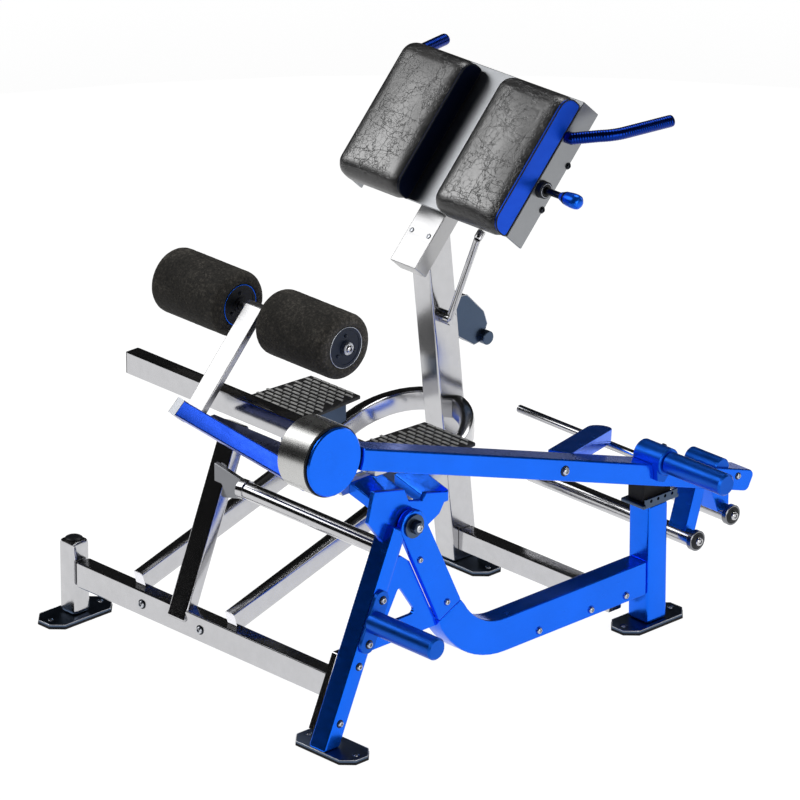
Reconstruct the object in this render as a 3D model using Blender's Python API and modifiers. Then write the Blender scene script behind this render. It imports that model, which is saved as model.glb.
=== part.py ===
"""Plate-loaded hip extension machine, modelled as separate pieces in metres, +Z up.

+X is the side of the loading lever, +Y is the direction that the user faces, and the middle of the pads,
treads and rollers lies on X = 0. The machine stands on Z = 0.
"""

import math

import bmesh
import bpy
from mathutils import Matrix, Vector

# General
GAP = 0.0003                # left between pieces that touch
EDGE = 0.0036                # rounding of tube edges
PLATE_EDGE = 0.0013         # rounding of plate edges
ROUND_SIDES = 28

# Base frame
SIDE_X = 0.5295              # middle of the lever side's frame
LEFT_X = -0.3587             # middle of the front left post
FRONT_Y = -0.8099            # middle of the front cross tube
FRONT_TUBE = (0.040, 0.060)     # depth, height
FRONT_TUBE_Z = 0.1119
END_PLATE_Z = (0.0434, 0.1992)       # lower and upper edge of the front tube's end plate on the leg
FOOT = (0.1825, 0.0854, 0.0057)      # long side, short side, thickness of foot plates and of their pads
FOOT_TOP = 2 * FOOT[2]
FOOT_SHIFT = 0.0036                  # how far the leg's foot plate reaches out past the leg's middle
LEG_FOOT_SHIFT = 0.0258              # how far it reaches back
MAIN_FOOT_X = 0.0267
LEFT_POST = 0.050
LEFT_POST_TOP = 0.1858
LEG_WIDTH = 0.050
LEG_DEPTH = 0.042
LEG_FOOT_Y = -0.8985
LEG_LEAN = math.radians(24.1)
LEG_TOP_Z = 0.4617
REAR_POST = (0.062, 0.060)      # across, along
REAR_POST_Y = 0.0757
REAR_POST_TOP = 0.2908
BASE_TUBE = (0.0401, 0.049)          # depth, height
BASE_TUBE_Y = 0.0036
BASE_TUBE_Z = 0.063
RAIL_WIDTH = 0.0534
RAIL_HEIGHT = 0.0783
RAIL_Z = 0.1208
RAIL_BEND = 0.178                # middle radius of the bend into the strut
STRUT_LEAN = math.radians(25.4)
STRUT_FOOT = (-0.5482, 0.2294)    # where the strut is bolted to the rail, as (y, z)
STRUT_TOP = (-0.6568, 0.4581)
STRUT_WIDTH = 0.0712
STORAGE_HORN_Z = 0.2737
HORN_RADIUS = 0.025                  # plates with a 50 mm bore slide onto it

# Main post and incline
POST = (0.0587, 0.073)
POST_FOOT_Y = 0.0096
POST_LEAN = math.radians(6.2)
INCLINE = math.radians(47)
INCLINE_START = (-0.1602, 0.7545)     # lower front edge of the incline rail, as (y, z)
INCLINE_LENGTH = 0.468
INCLINE_RAIL = (0.0801, 0.0445)
STAY_BOSS = (-0.0623, 0.613)
STAY_HEAD_X = 0.1557

# Treads and the bent tube that carries them
U_HALF = 0.1469
U_TUBE = (0.030, 0.050)
U_SLOPE = math.radians(16.7)
U_START = (-0.806, 0.1492)
U_RING_Y = -0.1646
TREAD_X = 0.182
TREAD_Z = 0.4214
TREAD_BACK_Y = -0.190
TREAD_LENGTH = 0.2359
TREAD_BACK_WIDTH = 0.1602
TREAD_FRONT_WIDTH = 0.1913
TREAD_THICKNESS = 0.0089
CENTRE_LEG = (0.056, 0.032)
CENTRE_LEG_TOP = (-0.654, 0.524)
CENTRE_LEG_FOOT_Y = -0.8239
UPPER_BAR_Z = 0.413
UPPER_BAR_START = 0.082              # x of its end, on the plate that ties it to the centre leg

# Yoke
PRONGS = (                           # y of the front and back, z of the foot and head of each prong
    (-0.7503, -0.6620, 0.5347, 0.5596),
    (-0.6001, -0.5323, 0.4977, 0.5241),
)
PRONG_THICKNESS = 0.0267
PRONG_REACH = 0.0934

# Lever
PIVOT = Vector((0.0, -0.8829, 0.670))
DROOP = math.radians(18.7)          # slope of the arm at rest
ARM_X = 0.5295
ARM = (0.0623, 0.049)
ARM_LENGTH = 1.3172
ARM_RISE = 0.0107                    # how far the arm's middle line passes over the pivot
DRUM_RADIUS = 0.0792
DRUM_X = (0.4612, 0.5476)
COVER_THICKNESS = 0.008
AXLE_RADIUS = 0.0169
ROLLER_Y = -0.5847
ROLLER_Z = 0.7592
ROLLER_RADIUS = 0.0740
ROLLER_LENGTH = 0.2083
ROLLER_INNER_X = 0.0619
CROSS_RAIL = (0.0374, 0.0525)
CROSS_RAIL_Y = -0.6933
CROSS_RAIL_LEFT = -0.2893
CROSS_RAIL_Z = 0.593
ROLLER_BAR_START = (-0.0401, -0.7845, 0.583)
ROLLER_BAR_END = (0.4773, -0.8951, 0.6066)
BAR_WEB_Z = 0.5735
HORN_AXIS = (0.0846, 0.3923)         # (y, z) of the plate horn on the arm
INBOARD_AXIS = (0.089, 0.3745)
LOWER_BAR_AXIS = (0.1736, 0.1799)
REAR_BAR_AXIS = (0.2848, 0.2072)
FRONT_HANGER = ((0.158, 0.192), (0.197, 0.231))     # y of the front and back, at the bottom and at the top
REAR_HANGER = ((0.268, 0.300), (0.241, 0.300))

# Pads
PAD_WIDTH = 0.1976
PAD_LENGTH = 0.3489
PAD_THICKNESS = 0.0579
PAD_X = 0.1526
PAD_START = 0.1228                   # distance of the pads' lower end up the incline
PAD_BACK = 0.0303                    # height of the pads' backs over the incline rail's face
PAD_SOFT = 0.0401                    # rounding of the pads' upper and lower front edges
PAD_CROWN = 0.0053                   # fullness of a pad's front in its middle
CARRIER_HALF = 0.2541
CARRIER_START = PAD_START + 0.0107
CARRIER_END = PAD_START + PAD_LENGTH + 0.0036
HANDLE_ROOT = (0.0926, 1.0532)               # (y, z) on the carrier's side
HANDLE_BEND = (0.3307, 0.1576, 1.0621)
HANDLE_END = (0.3548, 0.313, 1.0628)
HANDLE_RADIUS = 0.0129

COLLECTION = "hip_extension_machine"
CUTTERS = "cutters"


def clear_scene():
    for item in list(bpy.data.objects):
        bpy.data.objects.remove(item, do_unlink=True)


def collection(name):
    found = bpy.data.collections.get(name)
    if found is None:
        found = bpy.data.collections.new(name)
        bpy.context.scene.collection.children.link(found)
    return found


def material(name, colour, metallic, roughness):
    made = bpy.data.materials.get(name)
    if made is None:
        made = bpy.data.materials.new(name)
        made.use_nodes = True
        shader = made.node_tree.nodes["Principled BSDF"]
        shader.inputs["Base Color"].default_value = (*colour, 1.0)
        shader.inputs["Metallic"].default_value = metallic
        shader.inputs["Roughness"].default_value = roughness
    return made


def blue():
    return material("blue_paint", (0.005, 0.150, 0.930), 0.2, 0.30)


def chrome():
    return material("chrome", (0.62, 0.62, 0.60), 1.0, 0.15)


def steel():
    return material("steel", (0.42, 0.46, 0.54), 1.0, 0.35)


def leather():
    return material("black_leather", (0.030, 0.030, 0.032), 0.0, 0.40)


def foam():
    return material("dark_foam", (0.035, 0.030, 0.026), 0.0, 0.90)


def rubber():
    return material("black_rubber", (0.012, 0.012, 0.013), 0.0, 0.70)


def tread_plate():
    return material("tread_plate", (0.090, 0.090, 0.095), 0.8, 0.50)


def dark_steel():
    return material("dark_steel", (0.070, 0.085, 0.110), 0.9, 0.35)


# Making shapes


def place(mesh, name, finish, matrix=None):
    """A named object in the machine's collection, with its mesh moved by the matrix."""
    made = bpy.data.objects.new(name, mesh)
    collection(COLLECTION).objects.link(made)
    made.data.materials.clear()
    made.data.materials.append(finish)
    if matrix is not None:
        made.matrix_world = matrix
    return made


def round_edges(thing, width, segments=2):
    bevel = thing.modifiers.new("rounded_edges", "BEVEL")
    bevel.width = width
    bevel.segments = segments
    bevel.limit_method = "ANGLE"
    bevel.angle_limit = math.radians(35)
    return thing


def box_mesh(size):
    mesh = bpy.data.meshes.new("box")
    shape = bmesh.new()
    bmesh.ops.create_cube(shape, size=1.0, matrix=Matrix.Diagonal((*size, 1.0)))
    shape.to_mesh(mesh)
    shape.free()
    return mesh


def box(name, size, centre, finish, edge=EDGE, turn=None):
    turned = turn if turn is not None else Matrix.Identity(4)
    made = place(box_mesh(size), name, finish, Matrix.Translation(centre) @ turned)
    return round_edges(made, edge) if edge else made


def along(start, end):
    """Matrix that carries a shape on +Z from the origin to lie from start towards end."""
    start = Vector(start)
    direction = Vector(end) - start
    return Matrix.Translation(start) @ direction.to_track_quat("Z", "Y").to_matrix().to_4x4()


def turned(name, profile, matrix, finish, sides=ROUND_SIDES):
    """Turns a profile of (radius, height) points about +Z, from its top down on the outer side."""
    mesh = bpy.data.meshes.new(name)
    shape = bmesh.new()
    corners = [shape.verts.new((radius, 0.0, height)) for radius, height in profile]
    for first, second in zip(corners, corners[1:]):
        shape.edges.new((first, second))
    if profile[0][0] > 0.0:
        shape.edges.new((corners[-1], corners[0]))
    shape.to_mesh(mesh)
    shape.free()
    made = place(mesh, name, finish, matrix)
    screw = made.modifiers.new("turned", "SCREW")
    screw.steps = sides
    screw.render_steps = sides
    screw.use_merge_vertices = True
    screw.merge_threshold = 0.00005
    return made


def cylinder_profile(radius, low, high, edge=0.0):
    """Outer side of a solid cylinder from its top centre to its bottom centre, with chamfered rims."""
    if edge == 0.0:
        return [(0.0, high), (radius, high), (radius, low), (0.0, low)]
    return [
        (0.0, high), (radius - edge, high), (radius, high - edge),
        (radius, low + edge), (radius - edge, low), (0.0, low),
    ]


def ring_profile(outer, inner, low, high, edge=0.0):
    if edge == 0.0:
        return [(inner, high), (outer, high), (outer, low), (inner, low)]
    return [
        (inner, high), (outer - edge, high), (outer, high - edge),
        (outer, low + edge), (outer - edge, low), (inner, low),
    ]


def rod(name, radius, start, end, finish, edge=0.0013, sides=ROUND_SIDES):
    length = (Vector(end) - Vector(start)).length
    return turned(name, cylinder_profile(radius, 0.0, length, edge), along(start, end), finish, sides)


def arc(centre, radius, first, last, steps):
    """Points on an arc, with angles in degrees."""
    points = []
    for step in range(steps + 1):
        angle = math.radians(first + (last - first) * step / steps)
        points.append((centre[0] + radius * math.cos(angle), centre[1] + radius * math.sin(angle)))
    return points


def outline_object(name, outlines, thickness):
    """A flat filled 2D curve, extruded by half its thickness each way. Later outlines are holes."""
    curve = bpy.data.curves.new(name, "CURVE")
    curve.dimensions = "2D"
    curve.fill_mode = "BOTH"
    curve.extrude = thickness / 2
    for outline in outlines:
        spline = curve.splines.new("POLY")
        spline.points.add(len(outline) - 1)
        for point, (across, up) in zip(spline.points, outline):
            point.co = (across, up, 0.0, 1.0)
        spline.use_cyclic_u = True
    made = bpy.data.objects.new(name, curve)
    collection(COLLECTION).objects.link(made)
    return made


def as_mesh(curve_object, name, finish):
    """Replaces a curve object by a welded mesh of the same shape and place."""
    bpy.context.view_layer.update()
    graph = bpy.context.evaluated_depsgraph_get()
    mesh = bpy.data.meshes.new_from_object(curve_object.evaluated_get(graph))
    matrix = curve_object.matrix_world.copy()
    bpy.data.objects.remove(curve_object, do_unlink=True)
    shape = bmesh.new()
    shape.from_mesh(mesh)
    bmesh.ops.remove_doubles(shape, verts=shape.verts, dist=0.00002)
    bmesh.ops.dissolve_limit(shape, angle_limit=math.radians(0.5), verts=shape.verts, edges=shape.edges)
    bmesh.ops.recalc_face_normals(shape, faces=shape.faces)
    shape.to_mesh(mesh)
    shape.free()
    return place(mesh, name, finish, matrix)


def plate(name, outlines, thickness, matrix, finish, edge=PLATE_EDGE):
    """A plate with its outline in the matrix's XY plane and its middle on that plane."""
    drawn = outline_object(name + "_outline", outlines, thickness)
    drawn.matrix_world = matrix
    made = as_mesh(drawn, name, finish)
    segments = 1 if edge <= PLATE_EDGE else 2
    return round_edges(made, edge, segments) if edge else made


def side_view(x_middle):
    """Matrix that lays an outline of (y, z) points in the plane across X at x_middle."""
    return Matrix(((0, 0, 1, x_middle), (1, 0, 0, 0), (0, 1, 0, 0), (0, 0, 0, 1)))


def side_plate(name, outlines, x_low, x_high, finish, edge=PLATE_EDGE):
    return plate(name, outlines, x_high - x_low, side_view((x_low + x_high) / 2), finish, edge)


def bent_tube(name, route, radius, finish, resolution=3):
    """A round tube with closed ends along a route of points."""
    curve = bpy.data.curves.new(name, "CURVE")
    curve.dimensions = "3D"
    curve.bevel_depth = radius
    curve.bevel_resolution = resolution
    curve.use_fill_caps = True
    spline = curve.splines.new("POLY")
    spline.points.add(len(route) - 1)
    for point, place_of in zip(spline.points, route):
        point.co = (*place_of, 1.0)
    made = bpy.data.objects.new(name + "_route", curve)
    collection(COLLECTION).objects.link(made)
    return as_mesh(made, name, finish)


def swept_section(name, route, section, finish):
    """A closed section of (across, up) points swept along a route of points in a flat plane."""
    profile = bpy.data.curves.new(name + "_section", "CURVE")
    profile.dimensions = "2D"
    line = profile.splines.new("POLY")
    line.points.add(len(section) - 1)
    for point, (across, up) in zip(line.points, section):
        point.co = (across, up, 0.0, 1.0)
    line.use_cyclic_u = True
    drawn = bpy.data.objects.new(name + "_section", profile)
    collection(COLLECTION).objects.link(drawn)
    curve = bpy.data.curves.new(name, "CURVE")
    curve.dimensions = "3D"
    curve.twist_mode = "Z_UP"
    curve.bevel_mode = "OBJECT"
    curve.bevel_object = drawn
    curve.use_fill_caps = True
    spline = curve.splines.new("POLY")
    spline.points.add(len(route) - 1)
    for point, place_of in zip(spline.points, route):
        point.co = (*place_of, 1.0)
    made = bpy.data.objects.new(name + "_route", curve)
    collection(COLLECTION).objects.link(made)
    tube = as_mesh(made, name, finish)
    bpy.data.objects.remove(drawn, do_unlink=True)
    return tube


# Joining and cutting


def to_cutter(thing):
    collection(COLLECTION).objects.unlink(thing)
    collection(CUTTERS).objects.link(thing)
    thing.hide_render = True
    thing.display_type = "WIRE"
    return thing


def boolean(target, tool, operation):
    if tool.name not in collection(CUTTERS).objects:
        to_cutter(tool)
    step = target.modifiers.new(operation.lower() + "_" + tool.name, "BOOLEAN")
    step.operation = operation
    step.solver = "EXACT"
    step.object = tool
    return target


def cut(target, tool):
    return boolean(target, tool, "DIFFERENCE")


def fuse(target, tool):
    return boolean(target, tool, "UNION")


def hole(target, radius, start, end, sides=16):
    """Drills a round hole through the target from start to end."""
    drill = rod(f"{target.name}_drill_{len(target.modifiers)}", radius, start, end, dark_steel(), 0.0, sides)
    return cut(target, drill)


def seat(piece, neighbour):
    """Cuts the piece back where its neighbour stands, so that a gap is left between them."""
    bpy.context.view_layer.update()
    graph = bpy.context.evaluated_depsgraph_get()
    mesh = bpy.data.meshes.new_from_object(neighbour.evaluated_get(graph))
    shape = bmesh.new()
    shape.from_mesh(mesh)
    bmesh.ops.remove_doubles(shape, verts=shape.verts, dist=0.00002)
    shape.normal_update()
    reach = [corner.co + corner.normal * (1.3 * GAP) * corner.calc_shell_factor() for corner in shape.verts]
    for corner, moved in zip(shape.verts, reach):
        corner.co = moved
    shape.to_mesh(mesh)
    shape.free()
    clearance = place(mesh, f"{piece.name}_clears_{neighbour.name}", dark_steel())
    clearance.matrix_world = neighbour.matrix_world.copy()
    return cut(piece, clearance)


# Directions in the machine's side view


def incline_point(distance, height=0.0, x=0.0):
    """A point that lies a distance up the incline and a height over the incline rail's face."""
    y = INCLINE_START[0] + distance * math.cos(INCLINE) - height * math.sin(INCLINE)
    z = INCLINE_START[1] + distance * math.sin(INCLINE) + height * math.cos(INCLINE)
    return Vector((x, y, z))


def incline_turn():
    """Turns +Y up the incline and +Z to point out of the incline rail's face."""
    return Matrix.Rotation(INCLINE, 4, "X")


def arm_point(distance, height=0.0, x=ARM_X):
    """A point that lies a distance from the pivot along the arm and a height over its middle line."""
    rise = height + ARM_RISE
    y = PIVOT.y + distance * math.cos(DROOP) + rise * math.sin(DROOP)
    z = PIVOT.z - distance * math.sin(DROOP) + rise * math.cos(DROOP)
    return Vector((x, y, z))


def arm_turn():
    """Turns +Y along the arm, away from the pivot."""
    return Matrix.Rotation(-DROOP, 4, "X")


def leg_point(z, across=0.0):
    """(y, z) of a point on the lever side's leg: its middle at height z, moved square to the leg."""
    y = LEG_FOOT_Y + z * math.tan(LEG_LEAN)
    return (y + across / math.cos(LEG_LEAN), z)


# Feet


def octagon(long_side, short_side, corner):
    half_long = long_side / 2
    half_short = short_side / 2
    return [
        (half_long, half_short - corner), (half_long - corner, half_short),
        (corner - half_long, half_short), (-half_long, half_short - corner),
        (-half_long, corner - half_short), (corner - half_long, -half_short),
        (half_long - corner, -half_short), (half_long, corner - half_short),
    ]


def foot(name, x, y, along_y):
    """A foot plate with two bolt holes, bonded to the rubber pad under it."""
    turn = Matrix.Rotation(math.radians(90 if along_y else 0), 4, "Z")
    shape = octagon(FOOT[0], FOOT[1], 0.0249)
    holes = [arc((side * 0.073, 0.0), 0.0067, 360, 0, 10)[:-1] for side in (-1, 1)]
    lift = Matrix.Translation((x, y, FOOT[2])) @ turn
    plate(name, [shape] + holes, 2 * FOOT[2], lift, dark_steel())


def build_feet():
    foot("front_left_foot", LEFT_X, FRONT_Y, True)
    foot("front_right_foot", SIDE_X + FOOT_SHIFT, LEG_FOOT_Y + LEG_FOOT_SHIFT, False)
    foot("main_foot", MAIN_FOOT_X, POST_FOOT_Y, False)
    foot("rear_right_foot", SIDE_X, REAR_POST_Y, True)


# Base frame


def build_front_left_post():
    height = LEFT_POST_TOP - FOOT_TOP - GAP
    centre = (LEFT_X, FRONT_Y, FOOT_TOP + GAP + height / 2)
    return box("front_left_post", (LEFT_POST, LEFT_POST, height), centre, chrome(), 0.0107)


def build_front_right_leg():
    low = FOOT_TOP + GAP
    half = LEG_DEPTH / 2
    slant = half * math.sin(LEG_LEAN)
    outline = [
        leg_point(low, half), leg_point(LEG_TOP_Z - slant, half),
        leg_point(LEG_TOP_Z + slant, -half), leg_point(low, -half),
    ]
    x_low = SIDE_X - LEG_WIDTH / 2
    return side_plate("front_right_leg", [outline], x_low, x_low + LEG_WIDTH, blue(), 0.0053)


def build_front_cross_tube():
    left = LEFT_X + LEFT_POST / 2 + GAP
    right = SIDE_X - LEG_WIDTH / 2 - GAP
    centre = ((left + right) / 2, FRONT_Y, FRONT_TUBE_Z)
    tube = box("front_cross_tube", (right - left - 0.0036, *FRONT_TUBE), centre, chrome(), 0.0053)
    low, high = END_PLATE_Z
    outline = [
        leg_point(low, -0.0196), leg_point(low, 0.0623),
        leg_point(high, 0.0356), leg_point(high, -0.0196),
    ]
    return fuse(tube, side_plate("tube_end_plate", [outline], right - 0.016, right, chrome()))


def build_rear_post():
    low = FOOT_TOP + GAP
    height = REAR_POST_TOP - low
    centre = (SIDE_X, REAR_POST_Y, low + height / 2)
    return box("rear_post", (*REAR_POST, height), centre, blue(), 0.0071)


def build_rear_post_cap():
    """Top plate of the rear post with its row of bolt holes, and the rubber block that the arm rests on."""
    size = (0.0712, 0.1086, 0.0089)
    z = REAR_POST_TOP + GAP + size[2] / 2
    y = REAR_POST_Y + 0.0036
    cap = box("rear_post_cap", size, (SIDE_X, y, z), dark_steel(), 0.0027)
    lip = box("cap_lip", (0.0044, 0.0979, 0.0196), (SIDE_X + 0.0343, y, z + 0.008), dark_steel(), 0.0009)
    fuse(cap, lip)
    for step in range(4):
        at = y - 0.032 + 0.0214 * step
        hole(cap, 0.004, (SIDE_X + 0.03, at, z + 0.0111), (SIDE_X + 0.05, at, z + 0.0111), 10)
    top = REAR_POST_TOP + size[2] + 2 * GAP
    half = 0.0409
    under = -ARM[1] / 2 - 0.0006
    outline = [(y - half, top), (y + half, top)]
    for end in (y + half, y - half):
        reach = (end - PIVOT.y - (under + ARM_RISE) * math.sin(DROOP)) / math.cos(DROOP)
        outline.append((end, arm_point(reach, under).z))
    side_plate("rear_bumper", [outline], SIDE_X - 0.0267, SIDE_X + 0.0236, rubber(), 0.0018)


def build_side_rail():
    """The J-shaped rail: bolted end under the strut, a bend, and the straight run to the rear post."""
    half = RAIL_HEIGHT / 2
    turn = 90 - math.degrees(STRUT_LEAN)
    tangent = RAIL_BEND * math.tan(math.radians(turn / 2))
    corner_y = STRUT_FOOT[0] + (STRUT_FOOT[1] - RAIL_Z) * math.tan(STRUT_LEAN)
    centre = (corner_y + tangent, RAIL_Z + RAIL_BEND)
    rear = REAR_POST_Y - REAR_POST[1] / 2 - GAP
    strut_half = STRUT_WIDTH / 2
    away = Vector((math.cos(STRUT_LEAN), math.sin(STRUT_LEAN)))
    down = Vector((math.sin(STRUT_LEAN), -math.cos(STRUT_LEAN)))
    seam = Vector(STRUT_FOOT) + down * (GAP / 2)
    outline = [tuple(seam + away * strut_half), tuple(seam - away * strut_half)]
    outline += arc(centre, RAIL_BEND + half, 180 + 90 - turn + 4, 270, 10)
    outline += [(rear, RAIL_Z - half), (rear, RAIL_Z + half)]
    outline += arc(centre, RAIL_BEND - half, 270, 180 + 90 - turn + 4, 10)
    x_low = SIDE_X - RAIL_WIDTH / 2
    return side_plate("side_rail", [outline], x_low, x_low + RAIL_WIDTH, blue(), EDGE)


def build_side_strut():
    """The strut with its round top, bolted between the leg's top and the side rail."""
    half = STRUT_WIDTH / 2
    away = Vector((math.cos(STRUT_LEAN), math.sin(STRUT_LEAN)))
    down = Vector((math.sin(STRUT_LEAN), -math.cos(STRUT_LEAN)))
    seam = Vector(STRUT_FOOT) - down * (GAP / 2)
    lean = math.degrees(STRUT_LEAN)
    outline = [tuple(seam - away * half), tuple(seam + away * half)]
    outline += arc(STRUT_TOP, half, lean, lean + 180, 12)
    x_low = SIDE_X + 0.0107
    return side_plate("side_strut", [outline], x_low, SIDE_X + RAIL_WIDTH / 2, blue(), EDGE)


def build_leg_gusset():
    outer = [(-0.8054, 0.200), (-0.5741, 0.200), (-0.6568, 0.3727), (-0.6809, 0.3923), (-0.712, 0.3923)]
    window = arc((-0.6533, 0.257), 0.0089, 20, -90, 3) + arc((-0.7156, 0.257), 0.0089, 270, 160, 4)
    window += arc((-0.6871, 0.3122), 0.0062, 150, 20, 4)
    return side_plate("leg_gusset", [outer, window], SIDE_X + 0.0053, SIDE_X + 0.0142, blue())


def build_base_cross_tube():
    left = POST[0] / 2 + GAP
    right = SIDE_X - RAIL_WIDTH / 2 - GAP
    centre = ((left + right) / 2, BASE_TUBE_Y, BASE_TUBE_Z)
    return box("base_cross_tube", (right - left, *BASE_TUBE), centre, chrome())


def build_storage_horn():
    """Plate holder on the leg: a bolted flange and a round horn that points away from the machine."""
    face = SIDE_X + LEG_WIDTH / 2 + GAP
    middle = leg_point(STORAGE_HORN_Z)
    turn = side_view(face + 0.0044) @ Matrix.Translation((*middle, 0.0)) @ Matrix.Rotation(-LEG_LEAN, 4, "Z")
    ends = arc((0.0, 0.049), 0.0214, 0, 180, 8) + arc((0.0, -0.049), 0.0214, 180, 360, 8)
    flange = plate("storage_horn", [ends], 0.0089, turn, blue())
    start = (face + 0.0018, *middle)
    end = (face + 0.1976, *middle)
    fuse(flange, rod("storage_horn_bar", HORN_RADIUS, start, end, blue(), 0.0044))
    return flange


def build_main_post():
    half = POST[1] / 2

    def edge_at(z, side):
        return (POST_FOOT_Y - z * math.tan(POST_LEAN) + side * half, z)

    def top_of(side):
        """Where the post's front or rear face meets the underside of the incline rail."""
        under = incline_point(0.0, -INCLINE_RAIL[1] - GAP)
        slope = math.tan(INCLINE)
        lean = math.tan(POST_LEAN)
        z = (under.z + slope * (POST_FOOT_Y + side * half - under.y)) / (1 + slope * lean)
        return edge_at(z, side)

    low = FOOT_TOP + GAP
    outline = [edge_at(low, -1), edge_at(low, 1), top_of(1), top_of(-1)]
    return side_plate("main_post", [outline], -POST[0] / 2, POST[0] / 2, chrome(), 0.0053)


def build_incline_rail():
    middle = incline_point(INCLINE_LENGTH / 2, -INCLINE_RAIL[1] / 2)
    size = (INCLINE_RAIL[0], INCLINE_LENGTH, INCLINE_RAIL[1])
    return box("incline_rail", size, middle, chrome(), 0.0027, incline_turn())


def u_height(y):
    return U_START[1] + (y - U_START[0]) * math.tan(U_SLOPE)


def build_u_tube():
    """The tube that rises from the front, bends round behind the main post and comes back."""
    route = [(-U_HALF, U_START[0])]
    route += [(x, y) for x, y in arc((0.0, U_RING_Y), U_HALF, 180, 0, 24)]
    route += [(U_HALF, U_START[0])]
    lifted = [(x, y, u_height(y)) for x, y in route]
    across, up = U_TUBE[0] / 2, U_TUBE[1] / 2
    soft = 0.008
    section = []
    for corner_x, corner_y, first in ((1, 1, 0), (-1, 1, 90), (-1, -1, 180), (1, -1, 270)):
        centre = (corner_x * (across - soft), corner_y * (up - soft))
        section += arc(centre, soft, first, first + 90, 2)
    return swept_section("u_tube", lifted, section, chrome())


def build_centre_leg(front_tube):
    """The leg that rises between the treads from the front cross tube."""
    foot_y = CENTRE_LEG_FOOT_Y
    foot_z = FRONT_TUBE_Z
    direction = Vector((CENTRE_LEG_TOP[0] - foot_y, CENTRE_LEG_TOP[1] - foot_z)).normalized()
    square = Vector((direction.y, -direction.x)) * (CENTRE_LEG[1] / 2)
    low = Vector((foot_y, foot_z))
    high = Vector(CENTRE_LEG_TOP)
    outline = [tuple(low - square), tuple(low + square), tuple(high + square), tuple(high - square)]
    half = CENTRE_LEG[0] / 2
    leg = side_plate("centre_leg", [outline], -half, half, chrome(), 0.0053)
    return seat(leg, front_tube)


def build_upper_cross_bar(side_leg):
    """Round bar from the centre leg to the lever side's leg."""
    height = UPPER_BAR_Z
    y = leg_point(height)[0]
    start = UPPER_BAR_START
    bar = rod("upper_cross_bar", 0.019, (start, y, height), (SIDE_X, y, height), chrome())
    fuse(bar, rod("bar_collar", 0.0223, (start, y, height), (start + 0.0196, y, height), chrome()))
    return seat(bar, side_leg)


def build_bar_bracket(upper_bar, centre_leg):
    """The plate that ties the upper cross bar's end to the centre leg."""
    y = leg_point(UPPER_BAR_Z)[0]
    outer = [
        (0.0, UPPER_BAR_Z + 0.036), (0.0, UPPER_BAR_Z - 0.044),
        (UPPER_BAR_START + 0.012, UPPER_BAR_Z - 0.020), (UPPER_BAR_START + 0.012, UPPER_BAR_Z + 0.020),
    ]
    across = Matrix(((1, 0, 0, 0), (0, 0, 1, y), (0, 1, 0, 0), (0, 0, 0, 1)))
    bracket = plate("bar_bracket", [outer], 0.012, across, chrome())
    seat(bracket, upper_bar)
    return seat(bracket, centre_leg)


def tread_outline(x):
    back = TREAD_BACK_Y
    front = back - TREAD_LENGTH
    half_back = TREAD_BACK_WIDTH / 2
    half_front = TREAD_FRONT_WIDTH / 2
    return [(x - half_front, front), (x + half_front, front), (x + half_back, back), (x - half_back, back)]


def build_tread(name, side, u_tube):
    """A foot tread and the bracket that holds it level over the sloping tube."""
    x = side * TREAD_X
    level = Matrix.Translation((0.0, 0.0, TREAD_Z - TREAD_THICKNESS / 2))
    plate(name + "_tread", [tread_outline(x)], TREAD_THICKNESS, level, tread_plate(), 0.0018)
    top = TREAD_Z - TREAD_THICKNESS - GAP
    back = TREAD_BACK_Y - 0.0107
    front = back - 0.178
    outline = [(front, top), (front, u_height(front) - 0.01), (back, u_height(back) - 0.01), (back, top)]
    x_middle = side * U_HALF
    half = 0.0107
    finish = dark_steel()
    bracket = side_plate(name + "_tread_bracket", [outline], x_middle - half, x_middle + half, finish)
    return seat(bracket, u_tube)


# Yoke, pivot and what turns on it


def build_yoke(leg):
    """The fork on the leg's top: two prongs that lean inwards under the arm to carry the pivot."""
    outer = [
        (-0.7076, 0.4083), (-0.6052, 0.4285), (-0.5603, 0.450), (-0.5323, 0.4928), (-0.6001, 0.5099),
        (-0.6103, 0.4956), (-0.6500, 0.5063), (-0.6620, 0.5361), (-0.7503, 0.556), (-0.7672, 0.4884),
    ]
    yoke = side_plate("yoke", [outer], SIDE_X - 0.0071, SIDE_X + 0.0049, blue())
    for number, (front, back, foot_z, head_z) in enumerate(PRONGS):
        prong = [
            (SIDE_X + 0.004, foot_z - PRONG_THICKNESS), (SIDE_X + 0.004, foot_z),
            (SIDE_X - PRONG_REACH, head_z), (SIDE_X - PRONG_REACH, head_z - PRONG_THICKNESS),
        ]
        across = Matrix(((1, 0, 0, 0), (0, 0, 1, (front + back) / 2), (0, 1, 0, 0), (0, 0, 0, 1)))
        arm = plate(f"yoke_prong_{number}", [prong], back - front, across, blue(), 0.0027)
        fuse(yoke, arm)
    seat(yoke, leg)
    return yoke


def build_pivot_bracket(yoke):
    """The plate that rises from the yoke's front prong to hold the fixed pivot axle."""
    outer = arc((PIVOT.y, PIVOT.z), 0.032, 55, 322, 16)
    outer += [
        (-0.8144, 0.6166), (-0.7699, 0.5293), (-0.6764, 0.5293),
        (-0.6764, 0.5578), (-0.7262, 0.5614), (-0.7494, 0.6032),
    ]
    x_low = DRUM_X[0] - 0.0178
    bracket = side_plate("pivot_bracket", [outer], x_low, DRUM_X[0] - 0.0036, steel())
    hole(bracket, AXLE_RADIUS + GAP, (x_low - 0.01, *PIVOT.yz), (DRUM_X[0], *PIVOT.yz), 32)
    return seat(bracket, yoke)


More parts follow.
